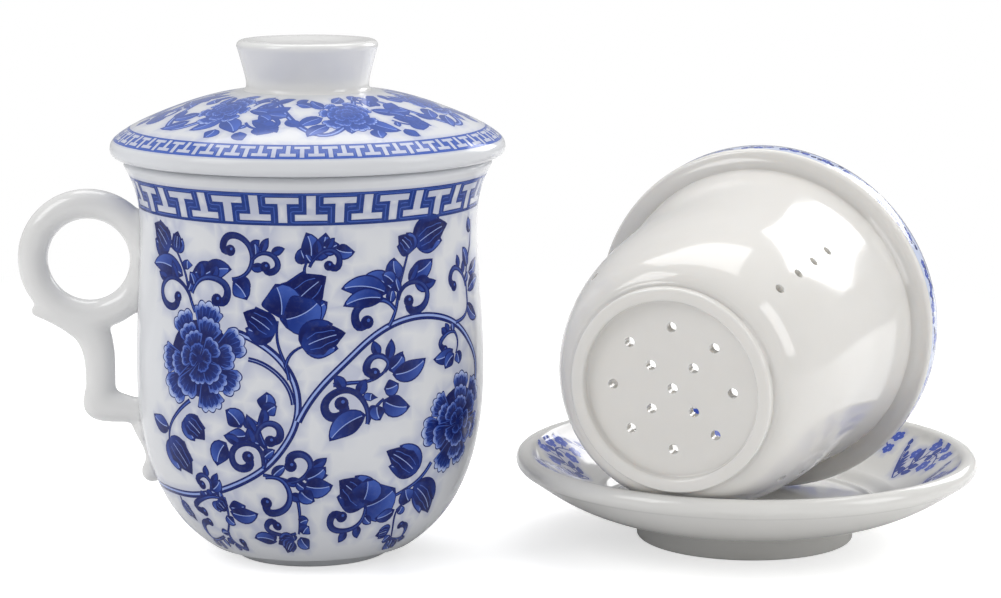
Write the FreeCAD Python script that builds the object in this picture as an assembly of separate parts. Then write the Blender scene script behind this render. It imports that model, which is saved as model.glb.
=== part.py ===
"""Lidded porcelain tea mug with a lift-out infuser and a saucer, in millimetres.

The mug stands at the origin with its foot on Z = 0 and its handle towards -X. The saucer stands beside it, and
the infuser leans in the saucer, where it is set down to drip.
"""
import FreeCAD, Part
import math
import os

Vector = FreeCAD.Vector
AXIS = Vector(0, 0, 1)
STEPS_BETWEEN_POINTS = 5

# Mug
MUG_WALL = 2.9
MUG_BASE = 3.6
MUG_RIM_HEIGHT = 92.2
MUG_RIM_RADIUS = 42.0
MUG_NECK_RADIUS = 39.3
MUG_NECK_BELOW_RIM = 8.2
MUG_WAIST_RADIUS = 38.6
MUG_WAIST_BELOW_RIM = 19.2
MUG_BELLY_RADIUS = 39.9
MUG_BELLY_HEIGHT = 38.0
MUG_SHOULDER_RADIUS = 36.9
MUG_SHOULDER_HEIGHT = 20.8
MUG_HIP_RADIUS = 31.3
MUG_HIP_HEIGHT = 9.8
MUG_UNDERSIDE_RADIUS = 24.0
MUG_UNDERSIDE_RISE = 0.9
MUG_FOOT_RADIUS = 18.0
MUG_FOOT_WIDTH = 2.8
MUG_FOOT_HEIGHT = 2.1

# Every foot ring
FOOT_ROUND = 0.6
FOOT_LEDGE = 1.2

# Handle: a ring, a strut below it with a spur, an arm back to the wall and a tail down the wall
RING_BORE_RADIUS = 9.4
RING_THICKNESS = 7.0
RING_BELOW_RIM = 24.0
RING_SINK = 4.2
STRUT_WIDTH = 7.2
STRUT_DEPTH = 6.6
STRUT_GAP = 5.2
ARM_HEIGHT = 34.3
ARM_DROP = 4.0
ARM_SINK = 2.4
SPUR_ANGLE = 224.0
SPUR_REACH = 1.0
SPUR_TIP_RADIUS = 1.3
TAIL_TIP_HEIGHT = 18.4
TAIL_TIP_RADIUS = 2.7
TAIL_PROUD = 0.2

# Lid and knob
LID_RADIUS = 45.0
LID_WALL = 3.2
LID_LIP = 4.2
LID_RISE = 12.9
LID_EDGE_ROUND = 2.0
LID_HOLLOW_TAPER = 1.6
LID_RING_RADIUS = 34.6
LID_RING_WIDTH = 2.8
LID_RING_DEPTH = 4.6
LID_RING_OVERLAP = 1.0
KNOB_NECK_RADIUS = 13.7
KNOB_SWELL = 0.25
KNOB_TOP_RADIUS = 16.1
KNOB_HEIGHT = 11.3
KNOB_WALL = 2.9
KNOB_DISH = 0.9
KNOB_EDGE_ROUND = 1.3
KNOB_HOLLOW_ROUND = 2.0
SEAT_CLEARANCE = 0.3

# Infuser
CUP_HEIGHT = 73.0
CUP_WALL = 2.4
CUP_BASE = 2.6
CUP_COLLAR_RADIUS = 41.5
CUP_COLLAR_HEIGHT = 7.5
CUP_COLLAR_WALL = 3.4
CUP_COLLAR_EDGE = 1.1
CUP_MOUTH_RADIUS = 36.8
CUP_MIDDLE_RADIUS = 34.3
CUP_MIDDLE_HEIGHT = 43.0
CUP_LOW_RADIUS = 32.6
CUP_LOW_HEIGHT = 22.0
CUP_SHOULDER_RADIUS = 29.6
CUP_SHOULDER_HEIGHT = 9.5
CUP_FOOT_RADIUS = 23.2
CUP_FOOT_WIDTH = 3.0
CUP_FOOT_HEIGHT = 2.4
HOLE_DIAMETER = 2.3
HOLE_OVERRUN = 6.0
OUTER_HOLES = 8
OUTER_HOLES_RADIUS = 13.9
INNER_HOLES = 4
INNER_HOLES_RADIUS = 7.0
SIDE_HOLE_LINES = 4
SIDE_HOLES_PER_LINE = 4
SIDE_HOLE_START = 12.5
SIDE_HOLE_PITCH = 9.2

# Saucer
SAUCER_RADIUS = 54.4
SAUCER_HEIGHT = 20.8
SAUCER_LIP = 4.4
SAUCER_BASE = 3.0
SAUCER_FOOT_RADIUS = 25.6
SAUCER_FOOT_WIDTH = 3.6
SAUCER_FOOT_HEIGHT = 5.3
SAUCER_HOLLOW_DROP = 0.8
SAUCER_WELL_RADIUS = 33.8
SAUCER_WELL_DEPTH = 2.4
SAUCER_STEP_WIDTH = 2.6
SAUCER_RIDGE_RADIUS = 30.6
SAUCER_RIDGE_HEIGHT = 0.7
SAUCER_RIDGE_HALF = 1.5

# Where the loose pieces stand
SAUCER_X = 102.0
SAUCER_Y = 13.0
CUP_HEADING = 23.0
CUP_COLLAR_REACH = 21.5
CUP_TURN = 45.0
LEAN_LIMIT = 25.0


def directions(points, gaps, start, end):
    """The direction of a smooth curve at each of its points, found so that its bend changes evenly."""
    last = len(points) - 1
    slopes = [(b - a) * (1 / gap) for a, b, gap in zip(points, points[1:], gaps)]

    def at_end(given, near, far):
        if given is not None:
            return Vector(given[0], 0, given[1]).normalize()
        share = gaps[near] / (gaps[near] + gaps[far])
        return slopes[near] * (1 + share) - slopes[far] * share

    before = [0.0] * (last + 1)
    own = [1.0] * (last + 1)
    after = [0.0] * (last + 1)
    sought = [at_end(start, 0, 1)]
    for i in range(1, last):
        before[i] = gaps[i]
        own[i] = 2 * (gaps[i - 1] + gaps[i])
        after[i] = gaps[i - 1]
        sought.append((slopes[i - 1] * gaps[i] + slopes[i] * gaps[i - 1]) * 3)
    sought.append(at_end(end, last - 1, last - 2))
    for i in range(1, last + 1):
        share = before[i] / own[i - 1]
        own[i] -= share * after[i - 1]
        sought[i] = sought[i] - sought[i - 1] * share
    found = [sought[last] * (1 / own[last])]
    for i in range(last - 1, -1, -1):
        found.append((sought[i] - found[-1] * after[i]) * (1 / own[i]))
    return found[::-1]


def smooth(points, start=None, end=None):
    """A smooth edge through (radius, height) points, with optional directions at its ends."""
    path = [Vector(r, 0, z) for r, z in points]
    gaps = [(b - a).Length for a, b in zip(path, path[1:])]
    ways = directions(path, gaps, start, end)
    dense = []
    for i, gap in enumerate(gaps):
        for k in range(STEPS_BETWEEN_POINTS):
            t = k / STEPS_BETWEEN_POINTS
            dense.append(path[i] * ((1 + 2 * t) * (1 - t) ** 2) + ways[i] * (gap * t * (1 - t) ** 2)
                         + path[i + 1] * (t * t * (3 - 2 * t)) + ways[i + 1] * (gap * t * t * (t - 1)))
    dense.append(path[-1])
    curve = Part.BSplineCurve()
    curve.interpolate(dense)
    return curve.toShape()


def line(a, b):
    return Part.makeLine(Vector(a[0], 0, a[1]), Vector(b[0], 0, b[1]))


def arc(a, middle, b):
    return Part.Arc(Vector(a[0], 0, a[1]), Vector(middle[0], 0, middle[1]), Vector(b[0], 0, b[1])).toShape()


def outline(edges):
    """The flat face inside a closed outline of edges."""
    return Part.Face(Part.Wire(Part.__sortEdges__(edges)))


def spun(face):
    """The solid that a flat face sweeps in one turn about the Z axis."""
    return face.revolve(Vector(0, 0, 0), AXIS, 360)


def turned(edges):
    return spun(outline(edges))


def chain(points):
    return [line(a, b) for a, b in zip(points, points[1:])]


def foot_edges(outer, width, height, hollow_height, join):
    """A foot ring from its outer top corner, down round its flat base, to the centre of the hollow inside it.

    join is the (radius, height) point where the body above meets the ring.
    """
    inner = outer - width
    r = FOOT_ROUND
    c = r * (1 - math.sqrt(0.5))
    return [
        line(join, (outer, height - r)),
        line((outer, height - r), (outer, r)),
        arc((outer, r), (outer - c, c), (outer - r, 0)),
        line((outer - r, 0), (inner + r, 0)),
        arc((inner + r, 0), (inner + c, c), (inner, r)),
        line((inner, r), (inner, hollow_height - r)),
        arc((inner, hollow_height - r), (inner - c, hollow_height - c), (inner - r, hollow_height)),
        line((inner - r, hollow_height), (0, hollow_height)),
    ]


def bead(outer, inner, height):
    """The half-round rim between the outer and inner wall tops, given as (radius, height)."""
    middle = ((outer[0] + inner[0]) / 2, height)
    return arc(outer, middle, inner)


# Mug
WAIST_HEIGHT = MUG_RIM_HEIGHT - MUG_WAIST_BELOW_RIM
NECK_HEIGHT = MUG_RIM_HEIGHT - MUG_NECK_BELOW_RIM
MUG_SIDE = [
    (MUG_UNDERSIDE_RADIUS, MUG_FOOT_HEIGHT + MUG_UNDERSIDE_RISE),
    (MUG_HIP_RADIUS, MUG_HIP_HEIGHT),
    (MUG_SHOULDER_RADIUS, MUG_SHOULDER_HEIGHT),
    (MUG_BELLY_RADIUS, MUG_BELLY_HEIGHT),
    (MUG_WAIST_RADIUS, WAIST_HEIGHT),
    (MUG_NECK_RADIUS, NECK_HEIGHT),
    (MUG_RIM_RADIUS, MUG_RIM_HEIGHT - MUG_WALL / 2),
]


def mug_outside():
    """The mug as a solid block with no hollow, which trims what is luted to its wall."""
    low = MUG_SIDE[0]
    high = MUG_SIDE[-1]
    edges = [smooth(MUG_SIDE)]
    edges += chain([high, (0, high[1]), (0, MUG_FOOT_HEIGHT), (MUG_FOOT_RADIUS, MUG_FOOT_HEIGHT), low])
    return turned(edges)


def mug_body():
    high = MUG_SIDE[-1]
    floor = MUG_FOOT_HEIGHT + MUG_BASE
    inside = [
        (MUG_UNDERSIDE_RADIUS - MUG_WALL, floor),
        (MUG_HIP_RADIUS - MUG_WALL * 1.1, MUG_HIP_HEIGHT + MUG_WALL * 0.6),
        (MUG_SHOULDER_RADIUS - MUG_WALL, MUG_SHOULDER_HEIGHT + MUG_WALL * 0.3),
        (MUG_BELLY_RADIUS - MUG_WALL, MUG_BELLY_HEIGHT),
        (MUG_WAIST_RADIUS - MUG_WALL, WAIST_HEIGHT),
        (MUG_NECK_RADIUS - MUG_WALL, NECK_HEIGHT),
        (MUG_RIM_RADIUS - MUG_WALL, high[1]),
    ]
    foot_join = (MUG_FOOT_RADIUS, MUG_FOOT_HEIGHT)
    edges = [smooth(MUG_SIDE), bead(high, inside[-1], MUG_RIM_HEIGHT), smooth(inside, (1, 0), (0.35, 1))]
    edges += [line(inside[0], (0, floor)), line((0, floor), (0, MUG_FOOT_HEIGHT))]
    edges += [line(MUG_SIDE[0], foot_join)]
    edges += foot_edges(MUG_FOOT_RADIUS, MUG_FOOT_WIDTH, MUG_FOOT_HEIGHT, MUG_FOOT_HEIGHT, foot_join)
    return turned(edges)


# Handle
def oval(centre, direction, width, depth):
    """An upright oval wire, width across the handle's plane and depth across Y, square to a direction in XZ."""
    along = Vector(direction[0], 0, direction[1]).normalize()
    across = Vector(-along.z, 0, along.x) * (width / 2)
    side = Vector(0, depth / 2, 0)
    stretch = FreeCAD.Matrix(across.x, side.x, along.x, centre[0],
                             across.y, side.y, along.y, 0,
                             across.z, side.z, along.z, centre[1],
                             0, 0, 0, 1)
    return Part.Wire([Part.makeCircle(1).transformGeometry(stretch)])


def limb(stations):
    """A loft through ovals, each (centre, direction, width, depth)."""
    return Part.makeLoft([oval(*station) for station in stations], True, False)


def mug_handle(outside):
    """The handle's limbs, each a row of ovals, joined to the ring and trimmed to the mug's wall.

    The ring hangs from the rim's height and the arm stands on the foot's, so the strut takes up the difference.
    """
    ring_radius = RING_BORE_RADIUS + RING_THICKNESS / 2
    ring_outer = RING_BORE_RADIUS + RING_THICKNESS
    ring_x = -(MUG_WAIST_RADIUS + ring_outer - RING_SINK)
    ring_z = MUG_RIM_HEIGHT - RING_BELOW_RIM
    ring = Part.makeTorus(ring_radius, RING_THICKNESS / 2, Vector(ring_x, 0, ring_z), Vector(0, 1, 0))

    def by_ring(angle, reach):
        turn = math.radians(angle)
        return (ring_x + reach * math.cos(turn), ring_z + reach * math.sin(turn))

    width = STRUT_WIDTH
    depth = STRUT_DEPTH
    strut_x = -(MUG_BELLY_RADIUS + STRUT_GAP + width / 2)
    strut_top = ring_z - ring_radius
    corner = ARM_HEIGHT + width / 2
    strut_length = strut_top - corner
    wall_end = -MUG_BELLY_RADIUS + ARM_SINK
    arm_end = ARM_HEIGHT - ARM_DROP
    strut = limb([
        (by_ring(254, ring_radius), (0.75, -1), width * 1.15, depth),
        ((strut_x - width * 0.125, strut_top - strut_length * 0.345), (0.4, -1), width * 1.12, depth),
        ((strut_x, strut_top - strut_length * 0.72), (0, -1), width, depth),
        ((strut_x, corner + width * 0.07), (0, -1), width * 0.97, depth),
    ])
    elbow = limb([
        ((strut_x, corner + width * 0.07), (0, -1), width * 0.97, depth),
        ((strut_x + width * 0.083, ARM_HEIGHT), (1, -1), width * 1.25, depth),
        ((strut_x + width * 0.6, ARM_HEIGHT - ARM_DROP * 0.25), (1, -0.35), width, depth),
        ((wall_end, arm_end), (1, -0.85), width * 1.3, depth),
    ])
    tip = by_ring(SPUR_ANGLE, ring_outer + SPUR_REACH)
    spur = limb([
        ((strut_x - width * 0.083, strut_top - strut_length * 0.356), (-0.75, 0.65), width * 0.9, depth * 0.9),
        (by_ring(SPUR_ANGLE + 19, ring_outer - SPUR_REACH), (-0.85, 0.5), SPUR_TIP_RADIUS * 3.2, depth * 0.8),
        (tip, (-1, 0.3), SPUR_TIP_RADIUS * 2, SPUR_TIP_RADIUS * 2.4),
    ])
    spur_tip = Part.makeSphere(SPUR_TIP_RADIUS * 1.02, Vector(tip[0], 0, tip[1]))
    round_tail = TAIL_TIP_RADIUS
    tail_x = -(MUG_SHOULDER_RADIUS + TAIL_PROUD)
    tail = limb([
        ((wall_end, arm_end), (0.15, -1), round_tail * 3.2, depth),
        ((wall_end, arm_end - ARM_DROP), (0.2, -1), round_tail * 2.0, depth * 0.92),
        ((tail_x + TAIL_PROUD * 2, TAIL_TIP_HEIGHT + round_tail * 1.4), (0, -1), round_tail * 1.5, round_tail * 1.9),
        ((tail_x, TAIL_TIP_HEIGHT), (0, -1), round_tail * 2, round_tail * 2),
    ])
    tail_tip = Part.makeSphere(round_tail * 1.01, Vector(tail_x, 0, TAIL_TIP_HEIGHT))
    handle = ring.fuse([strut, elbow, spur, spur_tip, tail, tail_tip])
    return handle.cut(outside).removeSplitter()


# Lid
LID_SEAT = MUG_RIM_HEIGHT + SEAT_CLEARANCE
LID_WIDEST = LID_SEAT + LID_LIP * 0.55
DOME_SIDE = [
    (LID_RADIUS, LID_WIDEST),
    (LID_RADIUS * 0.955, LID_WIDEST + LID_RISE * 0.21),
    (LID_RADIUS * 0.845, LID_WIDEST + LID_RISE * 0.43),
    (LID_RADIUS * 0.70, LID_WIDEST + LID_RISE * 0.64),
    (LID_RADIUS * 0.51, LID_WIDEST + LID_RISE * 0.855),
    (LID_RADIUS * 0.34, LID_WIDEST + LID_RISE * 0.965),
    (0, LID_WIDEST + LID_RISE),
]


def lid_section():
    """Half of the dome's section with no hollow, which gives the dome its block and the knob the curve it sits on."""
    edges = [smooth(DOME_SIDE, (0, 1), (-1, 0))]
    turn_in = LID_EDGE_ROUND
    edges += chain([(0, DOME_SIDE[-1][1]), (0, LID_SEAT), (LID_RADIUS - turn_in, LID_SEAT)])
    middle = (LID_RADIUS - turn_in * 0.25, LID_SEAT + turn_in * 0.275)
    edges += [arc((LID_RADIUS - turn_in, LID_SEAT), middle, (LID_RADIUS, LID_WIDEST))]
    return outline(edges)


def lid_dome(section):
    ring_inner = LID_RING_RADIUS - LID_RING_WIDTH
    top = LID_WIDEST + LID_RISE - LID_WALL
    hollow = [
        (ring_inner, LID_SEAT),
        (ring_inner - LID_HOLLOW_TAPER, LID_WIDEST + LID_RISE * 0.65 - LID_WALL * 1.05),
        (LID_RADIUS * 0.46, LID_WIDEST + LID_RISE * 0.88 - LID_WALL),
        (0, top),
    ]
    edges = [smooth(hollow, (0, 1), (-1, 0))]
    below = LID_SEAT - LID_RING_OVERLAP
    edges += chain([(0, top), (0, below), (ring_inner, below), (ring_inner, LID_SEAT)])
    dome = spun(section.cut(outline(edges)).Faces[0])
    low = LID_SEAT - LID_RING_DEPTH
    half = LID_RING_WIDTH / 2
    high = LID_SEAT + LID_RING_OVERLAP
    ring_edges = [line((LID_RING_RADIUS, high), (LID_RING_RADIUS, low + half)),
                  arc((LID_RING_RADIUS, low + half), (LID_RING_RADIUS - half, low), (ring_inner, low + half)),
                  line((ring_inner, low + half), (ring_inner, high)),
                  line((ring_inner, high), (LID_RING_RADIUS, high))]
    dome = dome.fuse(turned(ring_edges))
    mouth = KNOB_NECK_RADIUS - KNOB_WALL
    dome = dome.cut(Part.makeCylinder(mouth, LID_RISE * 2, Vector(0, 0, LID_SEAT)))
    return dome.removeSplitter()


def lid_knob(section):
    base = LID_WIDEST + LID_RISE * 0.85
    top = LID_WIDEST + LID_RISE * 0.975 + KNOB_HEIGHT
    neck = KNOB_NECK_RADIUS
    inner = neck - KNOB_WALL
    ceiling = top - KNOB_DISH - KNOB_WALL
    edge = KNOB_EDGE_ROUND
    c = edge * (1 - math.sqrt(0.5))
    hollow = KNOB_HOLLOW_ROUND
    h = hollow * (1 - math.sqrt(0.5))
    rim = KNOB_TOP_RADIUS
    waist = ((neck + rim) / 2 - KNOB_SWELL, (base + top) / 2)
    edges = [
        smooth([(neck, base), waist, (rim, top - edge)]),
        arc((rim, top - edge), (rim - c, top - c), (rim - edge, top)),
        smooth([(rim - edge, top), (rim * 0.55, top - KNOB_DISH * 0.75), (0, top - KNOB_DISH)], (-1, 0), (-1, 0)),
        line((0, top - KNOB_DISH), (0, ceiling)),
        line((0, ceiling), (inner - hollow, ceiling)),
        arc((inner - hollow, ceiling), (inner - h, ceiling - h), (inner, ceiling - hollow)),
        line((inner, ceiling - hollow), (inner, base)),
        line((inner, base), (neck, base)),
    ]
    above = max(outline(edges).cut(section).Faces, key=lambda face: face.Area)
    return spun(above)


# Infuser, made upright with its foot on Z = 0, then leaned in the saucer
COLLAR_LOW = CUP_HEIGHT - CUP_COLLAR_HEIGHT
CUP_SIDE = [
    (CUP_FOOT_RADIUS + FOOT_LEDGE, CUP_FOOT_HEIGHT),
    (CUP_SHOULDER_RADIUS, CUP_SHOULDER_HEIGHT),
    (CUP_LOW_RADIUS, CUP_LOW_HEIGHT),
    (CUP_MIDDLE_RADIUS, CUP_MIDDLE_HEIGHT),
    (CUP_MOUTH_RADIUS, COLLAR_LOW),
]


def infuser_upright():
    floor = CUP_FOOT_HEIGHT + CUP_BASE
    inside = [
        (CUP_FOOT_RADIUS - FOOT_LEDGE / 2, floor),
        (CUP_SHOULDER_RADIUS - CUP_WALL * 0.8, CUP_SHOULDER_HEIGHT + CUP_WALL * 0.7),
        (CUP_LOW_RADIUS - CUP_WALL, CUP_LOW_HEIGHT + CUP_WALL * 0.2),
        (CUP_MIDDLE_RADIUS - CUP_WALL, CUP_MIDDLE_HEIGHT),
        (CUP_MOUTH_RADIUS - CUP_WALL, COLLAR_LOW),
        (CUP_COLLAR_RADIUS - CUP_COLLAR_WALL, CUP_HEIGHT - CUP_COLLAR_WALL / 2),
    ]
    edge = CUP_COLLAR_EDGE
    c = edge * (1 - math.sqrt(0.5))
    out = CUP_COLLAR_RADIUS
    rim_outer = (out, CUP_HEIGHT - CUP_COLLAR_WALL / 2)
    foot_join = (CUP_FOOT_RADIUS, CUP_FOOT_HEIGHT)
    edges = [
        smooth(CUP_SIDE, (1, 0.35), (0.12, 1)),
        line(CUP_SIDE[-1], (out - edge, COLLAR_LOW)),
        arc((out - edge, COLLAR_LOW), (out - c, COLLAR_LOW + c), (out, COLLAR_LOW + edge)),
        line((out, COLLAR_LOW + edge), rim_outer),
        bead(rim_outer, inside[-1], CUP_HEIGHT),
        smooth(inside, (1, 0), (0.3, 1)),
        line(inside[0], (0, floor)),
        line((0, floor), (0, CUP_FOOT_HEIGHT)),
        line(CUP_SIDE[0], foot_join),
    ]
    edges += foot_edges(CUP_FOOT_RADIUS, CUP_FOOT_WIDTH, CUP_FOOT_HEIGHT, CUP_FOOT_HEIGHT, foot_join)
    cup = turned(edges)

    drill = HOLE_DIAMETER / 2
    beyond = HOLE_OVERRUN
    holes = [Part.makeCylinder(drill, floor + beyond * 2, Vector(0, 0, -beyond))]
    for count, radius in ((OUTER_HOLES, OUTER_HOLES_RADIUS), (INNER_HOLES, INNER_HOLES_RADIUS)):
        for i in range(count):
            turn = math.radians(360 / count * i)
            place = Vector(radius * math.cos(turn), radius * math.sin(turn), -beyond)
            holes.append(Part.makeCylinder(drill, floor + beyond * 2, place))
    for i in range(SIDE_HOLE_LINES):
        turn = math.radians(360 / SIDE_HOLE_LINES * i)
        outward = Vector(math.cos(turn), math.sin(turn), 0)
        for j in range(SIDE_HOLES_PER_LINE):
            height = SIDE_HOLE_START + SIDE_HOLE_PITCH * j
            start = outward * (CUP_LOW_RADIUS - CUP_WALL - beyond) + AXIS * height
            holes.append(Part.makeCylinder(drill, CUP_WALL + beyond * 2, start, outward))
    return cup.cut(holes)


def cup_outline():
    """Points of the infuser's outside from foot to rim, as (radius, height)."""
    points = [(CUP_FOOT_RADIUS, 0)]
    points += [(p.x, p.z) for p in smooth(CUP_SIDE, (1, 0.35), (0.12, 1)).discretize(60)]
    points += [(CUP_COLLAR_RADIUS - CUP_COLLAR_EDGE, COLLAR_LOW)]
    points += [(CUP_COLLAR_RADIUS, COLLAR_LOW + CUP_COLLAR_EDGE)]
    points += [(CUP_COLLAR_RADIUS, CUP_HEIGHT - CUP_COLLAR_WALL / 2)]
    return points


# Saucer
WELL_FLOOR = SAUCER_FOOT_HEIGHT + SAUCER_BASE
LIP_TOP = (SAUCER_RADIUS - SAUCER_LIP / 2, SAUCER_HEIGHT)


def saucer_top_edges():
    """The saucer's upper face from its centre to the inner edge of the lip's bead."""
    ridge = SAUCER_RIDGE_RADIUS
    half = SAUCER_RIDGE_HALF
    high = WELL_FLOOR + SAUCER_RIDGE_HEIGHT
    well = SAUCER_WELL_RADIUS
    step = (well + SAUCER_STEP_WIDTH, WELL_FLOOR + SAUCER_WELL_DEPTH)
    bead_in = (SAUCER_RADIUS - SAUCER_LIP, SAUCER_HEIGHT - SAUCER_LIP * 0.42)
    slope = (step[0] + (bead_in[0] - step[0]) * 0.434, step[1] + (bead_in[1] - step[1]) * 0.388)
    return [
        line((0, WELL_FLOOR), (ridge - half, WELL_FLOOR)),
        smooth([(ridge - half, WELL_FLOOR), (ridge, high), (ridge + half, WELL_FLOOR)], (1, 0), (1, 0)),
        smooth([(ridge + half, WELL_FLOOR), (well, WELL_FLOOR + SAUCER_WELL_DEPTH * 0.375), step], (1, 0), (1, 0.15)),
        smooth([step, slope, bead_in], (1, 0.3), (1, 0.62)),
        arc(bead_in, LIP_TOP, (SAUCER_RADIUS, SAUCER_HEIGHT - SAUCER_LIP * 0.5)),
    ]


def saucer():
    foot_join = (SAUCER_FOOT_RADIUS, SAUCER_FOOT_HEIGHT)
    lip_low = (SAUCER_RADIUS, SAUCER_HEIGHT - SAUCER_LIP * 0.5)
    under = (SAUCER_RADIUS - SAUCER_LIP * 0.36, SAUCER_HEIGHT - SAUCER_LIP)
    ledge = (SAUCER_FOOT_RADIUS + FOOT_LEDGE, SAUCER_FOOT_HEIGHT)
    hollow = SAUCER_FOOT_HEIGHT - SAUCER_HOLLOW_DROP
    edges = saucer_top_edges()
    edges += [
        arc(lip_low, (SAUCER_RADIUS - SAUCER_LIP * 0.09, SAUCER_HEIGHT - SAUCER_LIP * 0.78), under),
        smooth([under, (SAUCER_RADIUS * 0.8, SAUCER_HEIGHT * 0.50), ledge], (-1, -0.75), (-1, -0.12)),
        line(ledge, foot_join),
        line((0, hollow), (0, WELL_FLOOR)),
    ]
    edges += foot_edges(SAUCER_FOOT_RADIUS, SAUCER_FOOT_WIDTH, SAUCER_FOOT_HEIGHT, hollow, foot_join)
    return turned(edges)


def saucer_heights():
    """Points of the saucer's upper face, as (radius, height), in order of radius."""
    points = [(p.x, p.z) for edge in saucer_top_edges() for p in edge.discretize(25)]
    return sorted(points)


def height_at(points, radius):
    """The height of the outline at a radius, between its nearest points."""
    radius = abs(radius)
    for (r0, z0), (r1, z1) in zip(points, points[1:]):
        if r0 <= radius <= r1 and r1 > r0:
            return z0 + (z1 - z0) * (radius - r0) / (r1 - r0)
    return None


def least_gap(outline, heights, tilt, shift, lift, part):
    """The least height of a stretch of the leaned infuser's lowest line above the saucer."""
    least = None
    for radius, along in outline[part]:
        reach = shift + (along - CUP_HEIGHT) * math.cos(tilt) + radius * math.sin(tilt)
        rise = lift + (along - CUP_HEIGHT) * math.sin(tilt) - radius * math.cos(tilt)
        under = height_at(heights, reach)
        if under is not None and (least is None or rise - under < least):
            least = rise - under
    return least


def lean():
    """The tilt and place at which the infuser's collar rests in the well and its body on the saucer's lip.

    Returns the tilt in radians, and how far along the heading and how high the rim's centre is.
    """
    outline = cup_outline()
    heights = saucer_heights()
    collar = slice(-3, None)
    body = slice(0, -3)
    low, high = math.radians(-LEAN_LIMIT), math.radians(LEAN_LIMIT)
    for _ in range(40):
        tilt = (low + high) / 2
        shift = CUP_COLLAR_REACH - CUP_COLLAR_RADIUS * math.sin(tilt)
        lift = SEAT_CLEARANCE - least_gap(outline, heights, tilt, shift, 0, collar)
        if least_gap(outline, heights, tilt, shift, lift, body) > SEAT_CLEARANCE:
            low = tilt
        else:
            high = tilt
    return tilt, shift, lift


def lean_placement():
    tilt, shift, lift = lean()
    heading = math.radians(CUP_HEADING)
    forward = Vector(math.sin(heading), math.cos(heading), 0)
    rim = Vector(SAUCER_X, SAUCER_Y, lift) + forward * shift
    up_axis = forward * math.cos(tilt) + AXIS * math.sin(tilt)
    side = up_axis.cross(AXIS).normalize()
    upright = side.cross(up_axis)
    turn = math.radians(CUP_TURN)
    x_axis = upright * math.cos(turn) + side * math.sin(turn)
    y_axis = up_axis.cross(x_axis)
    foot = rim - up_axis * CUP_HEIGHT
    print("infuser tilt %.2f degrees, rim centre %s, foot centre %s" % (math.degrees(tilt), rim, foot))
    return FreeCAD.Placement(FreeCAD.Matrix(x_axis.x, y_axis.x, up_axis.x, foot.x,
                                            x_axis.y, y_axis.y, up_axis.y, foot.y,
                                            x_axis.z, y_axis.z, up_axis.z, foot.z,
                                            0, 0, 0, 1))


def placed(shape, placement):
    moved = shape.copy()
    moved.Placement = placement
    return moved


def main():
    os.makedirs("parts", exist_ok=True)
    mug_block = mug_outside()
    lid_half = lid_section()
    beside = FreeCAD.Placement(Vector(SAUCER_X, SAUCER_Y, 0), FreeCAD.Rotation())
    pieces = {
        "mug_body": mug_body(),
        "mug_handle": mug_handle(mug_block),
        "lid_dome": lid_dome(lid_half),
        "lid_knob": lid_knob(lid_half),
        "infuser_cup": placed(infuser_upright(), lean_placement()),
        "saucer": placed(saucer(), beside),
    }
    for name, shape in pieces.items():
        solids = shape.Solids
        box = shape.BoundBox
        print("%-12s solids %d valid %s volume %.1f box %s" % (name, len(solids), shape.isValid(), shape.Volume, box))
        shape.exportStep("parts/%s.step" % name)


main()
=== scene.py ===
# %% [markdown]
# A porcelain tea mug with a lid, a lift-out infuser and a saucer, all printed in blue under the glaze.
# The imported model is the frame: it gives every size and place. The scene dresses it with smooth turned
# forms, a drawn print and a glaze. Drawing is done in millimetres, and every mesh is made in metres.

# %% Load the frame
import math

import bmesh
import bpy
import numpy as np
from mathutils import Matrix, Vector
from mathutils.geometry import delaunay_2d_cdt
from mathutils.kdtree import KDTree


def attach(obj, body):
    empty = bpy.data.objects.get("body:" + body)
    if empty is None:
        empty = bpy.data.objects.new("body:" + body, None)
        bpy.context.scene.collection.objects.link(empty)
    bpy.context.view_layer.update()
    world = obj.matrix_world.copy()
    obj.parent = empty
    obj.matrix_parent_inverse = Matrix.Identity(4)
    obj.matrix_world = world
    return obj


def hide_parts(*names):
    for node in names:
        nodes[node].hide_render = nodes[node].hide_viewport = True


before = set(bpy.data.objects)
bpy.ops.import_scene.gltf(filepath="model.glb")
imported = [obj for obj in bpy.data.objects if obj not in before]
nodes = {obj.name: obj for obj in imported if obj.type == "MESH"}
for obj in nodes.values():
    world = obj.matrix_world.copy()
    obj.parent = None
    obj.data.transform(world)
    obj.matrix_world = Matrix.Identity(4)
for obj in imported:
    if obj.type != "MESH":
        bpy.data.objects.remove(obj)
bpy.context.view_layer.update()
MM = 0.001
FULL_TURN = 2 * math.pi

# %% [markdown]
# The camera comes first. The photograph looks at the row from in front, a little above the rims, with a
# long lens. A camera could be given a target to look at, but a fixed place and pitch keep the row level.
# One level is used for everything, between the low view of the mug and the higher view of the saucer.

# %% Camera
CAMERA_PLACE = (0.0439, -0.650, 0.1678)
CAMERA_PITCH = 9.51
scene = bpy.context.scene
scene.view_settings.view_transform = "Standard"
camera = bpy.data.objects.new("camera", bpy.data.cameras.new("camera"))
scene.collection.objects.link(camera)
camera.location = CAMERA_PLACE
camera.rotation_euler = (math.radians(90 - CAMERA_PITCH), 0, 0)
camera.data.sensor_width = 36.0
camera.data.lens = 102.8
camera.data.clip_start = 0.01
scene.camera = camera
print("camera at", CAMERA_PLACE, "looking down", CAMERA_PITCH, "degrees")

# %% [markdown]
# Porcelain is turned on a wheel or pressed in a turned mould, so each main piece is one outline spun
# about an axis. An outline here is a row of (radius, height) points in millimetres. It could be drawn as
# a Bezier curve by hand, but a curve through a few measured points gives the same wall as the solid. Its
# slopes are solved so that both slope and curvature run on smoothly, and an end may be given its own
# direction.

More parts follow.
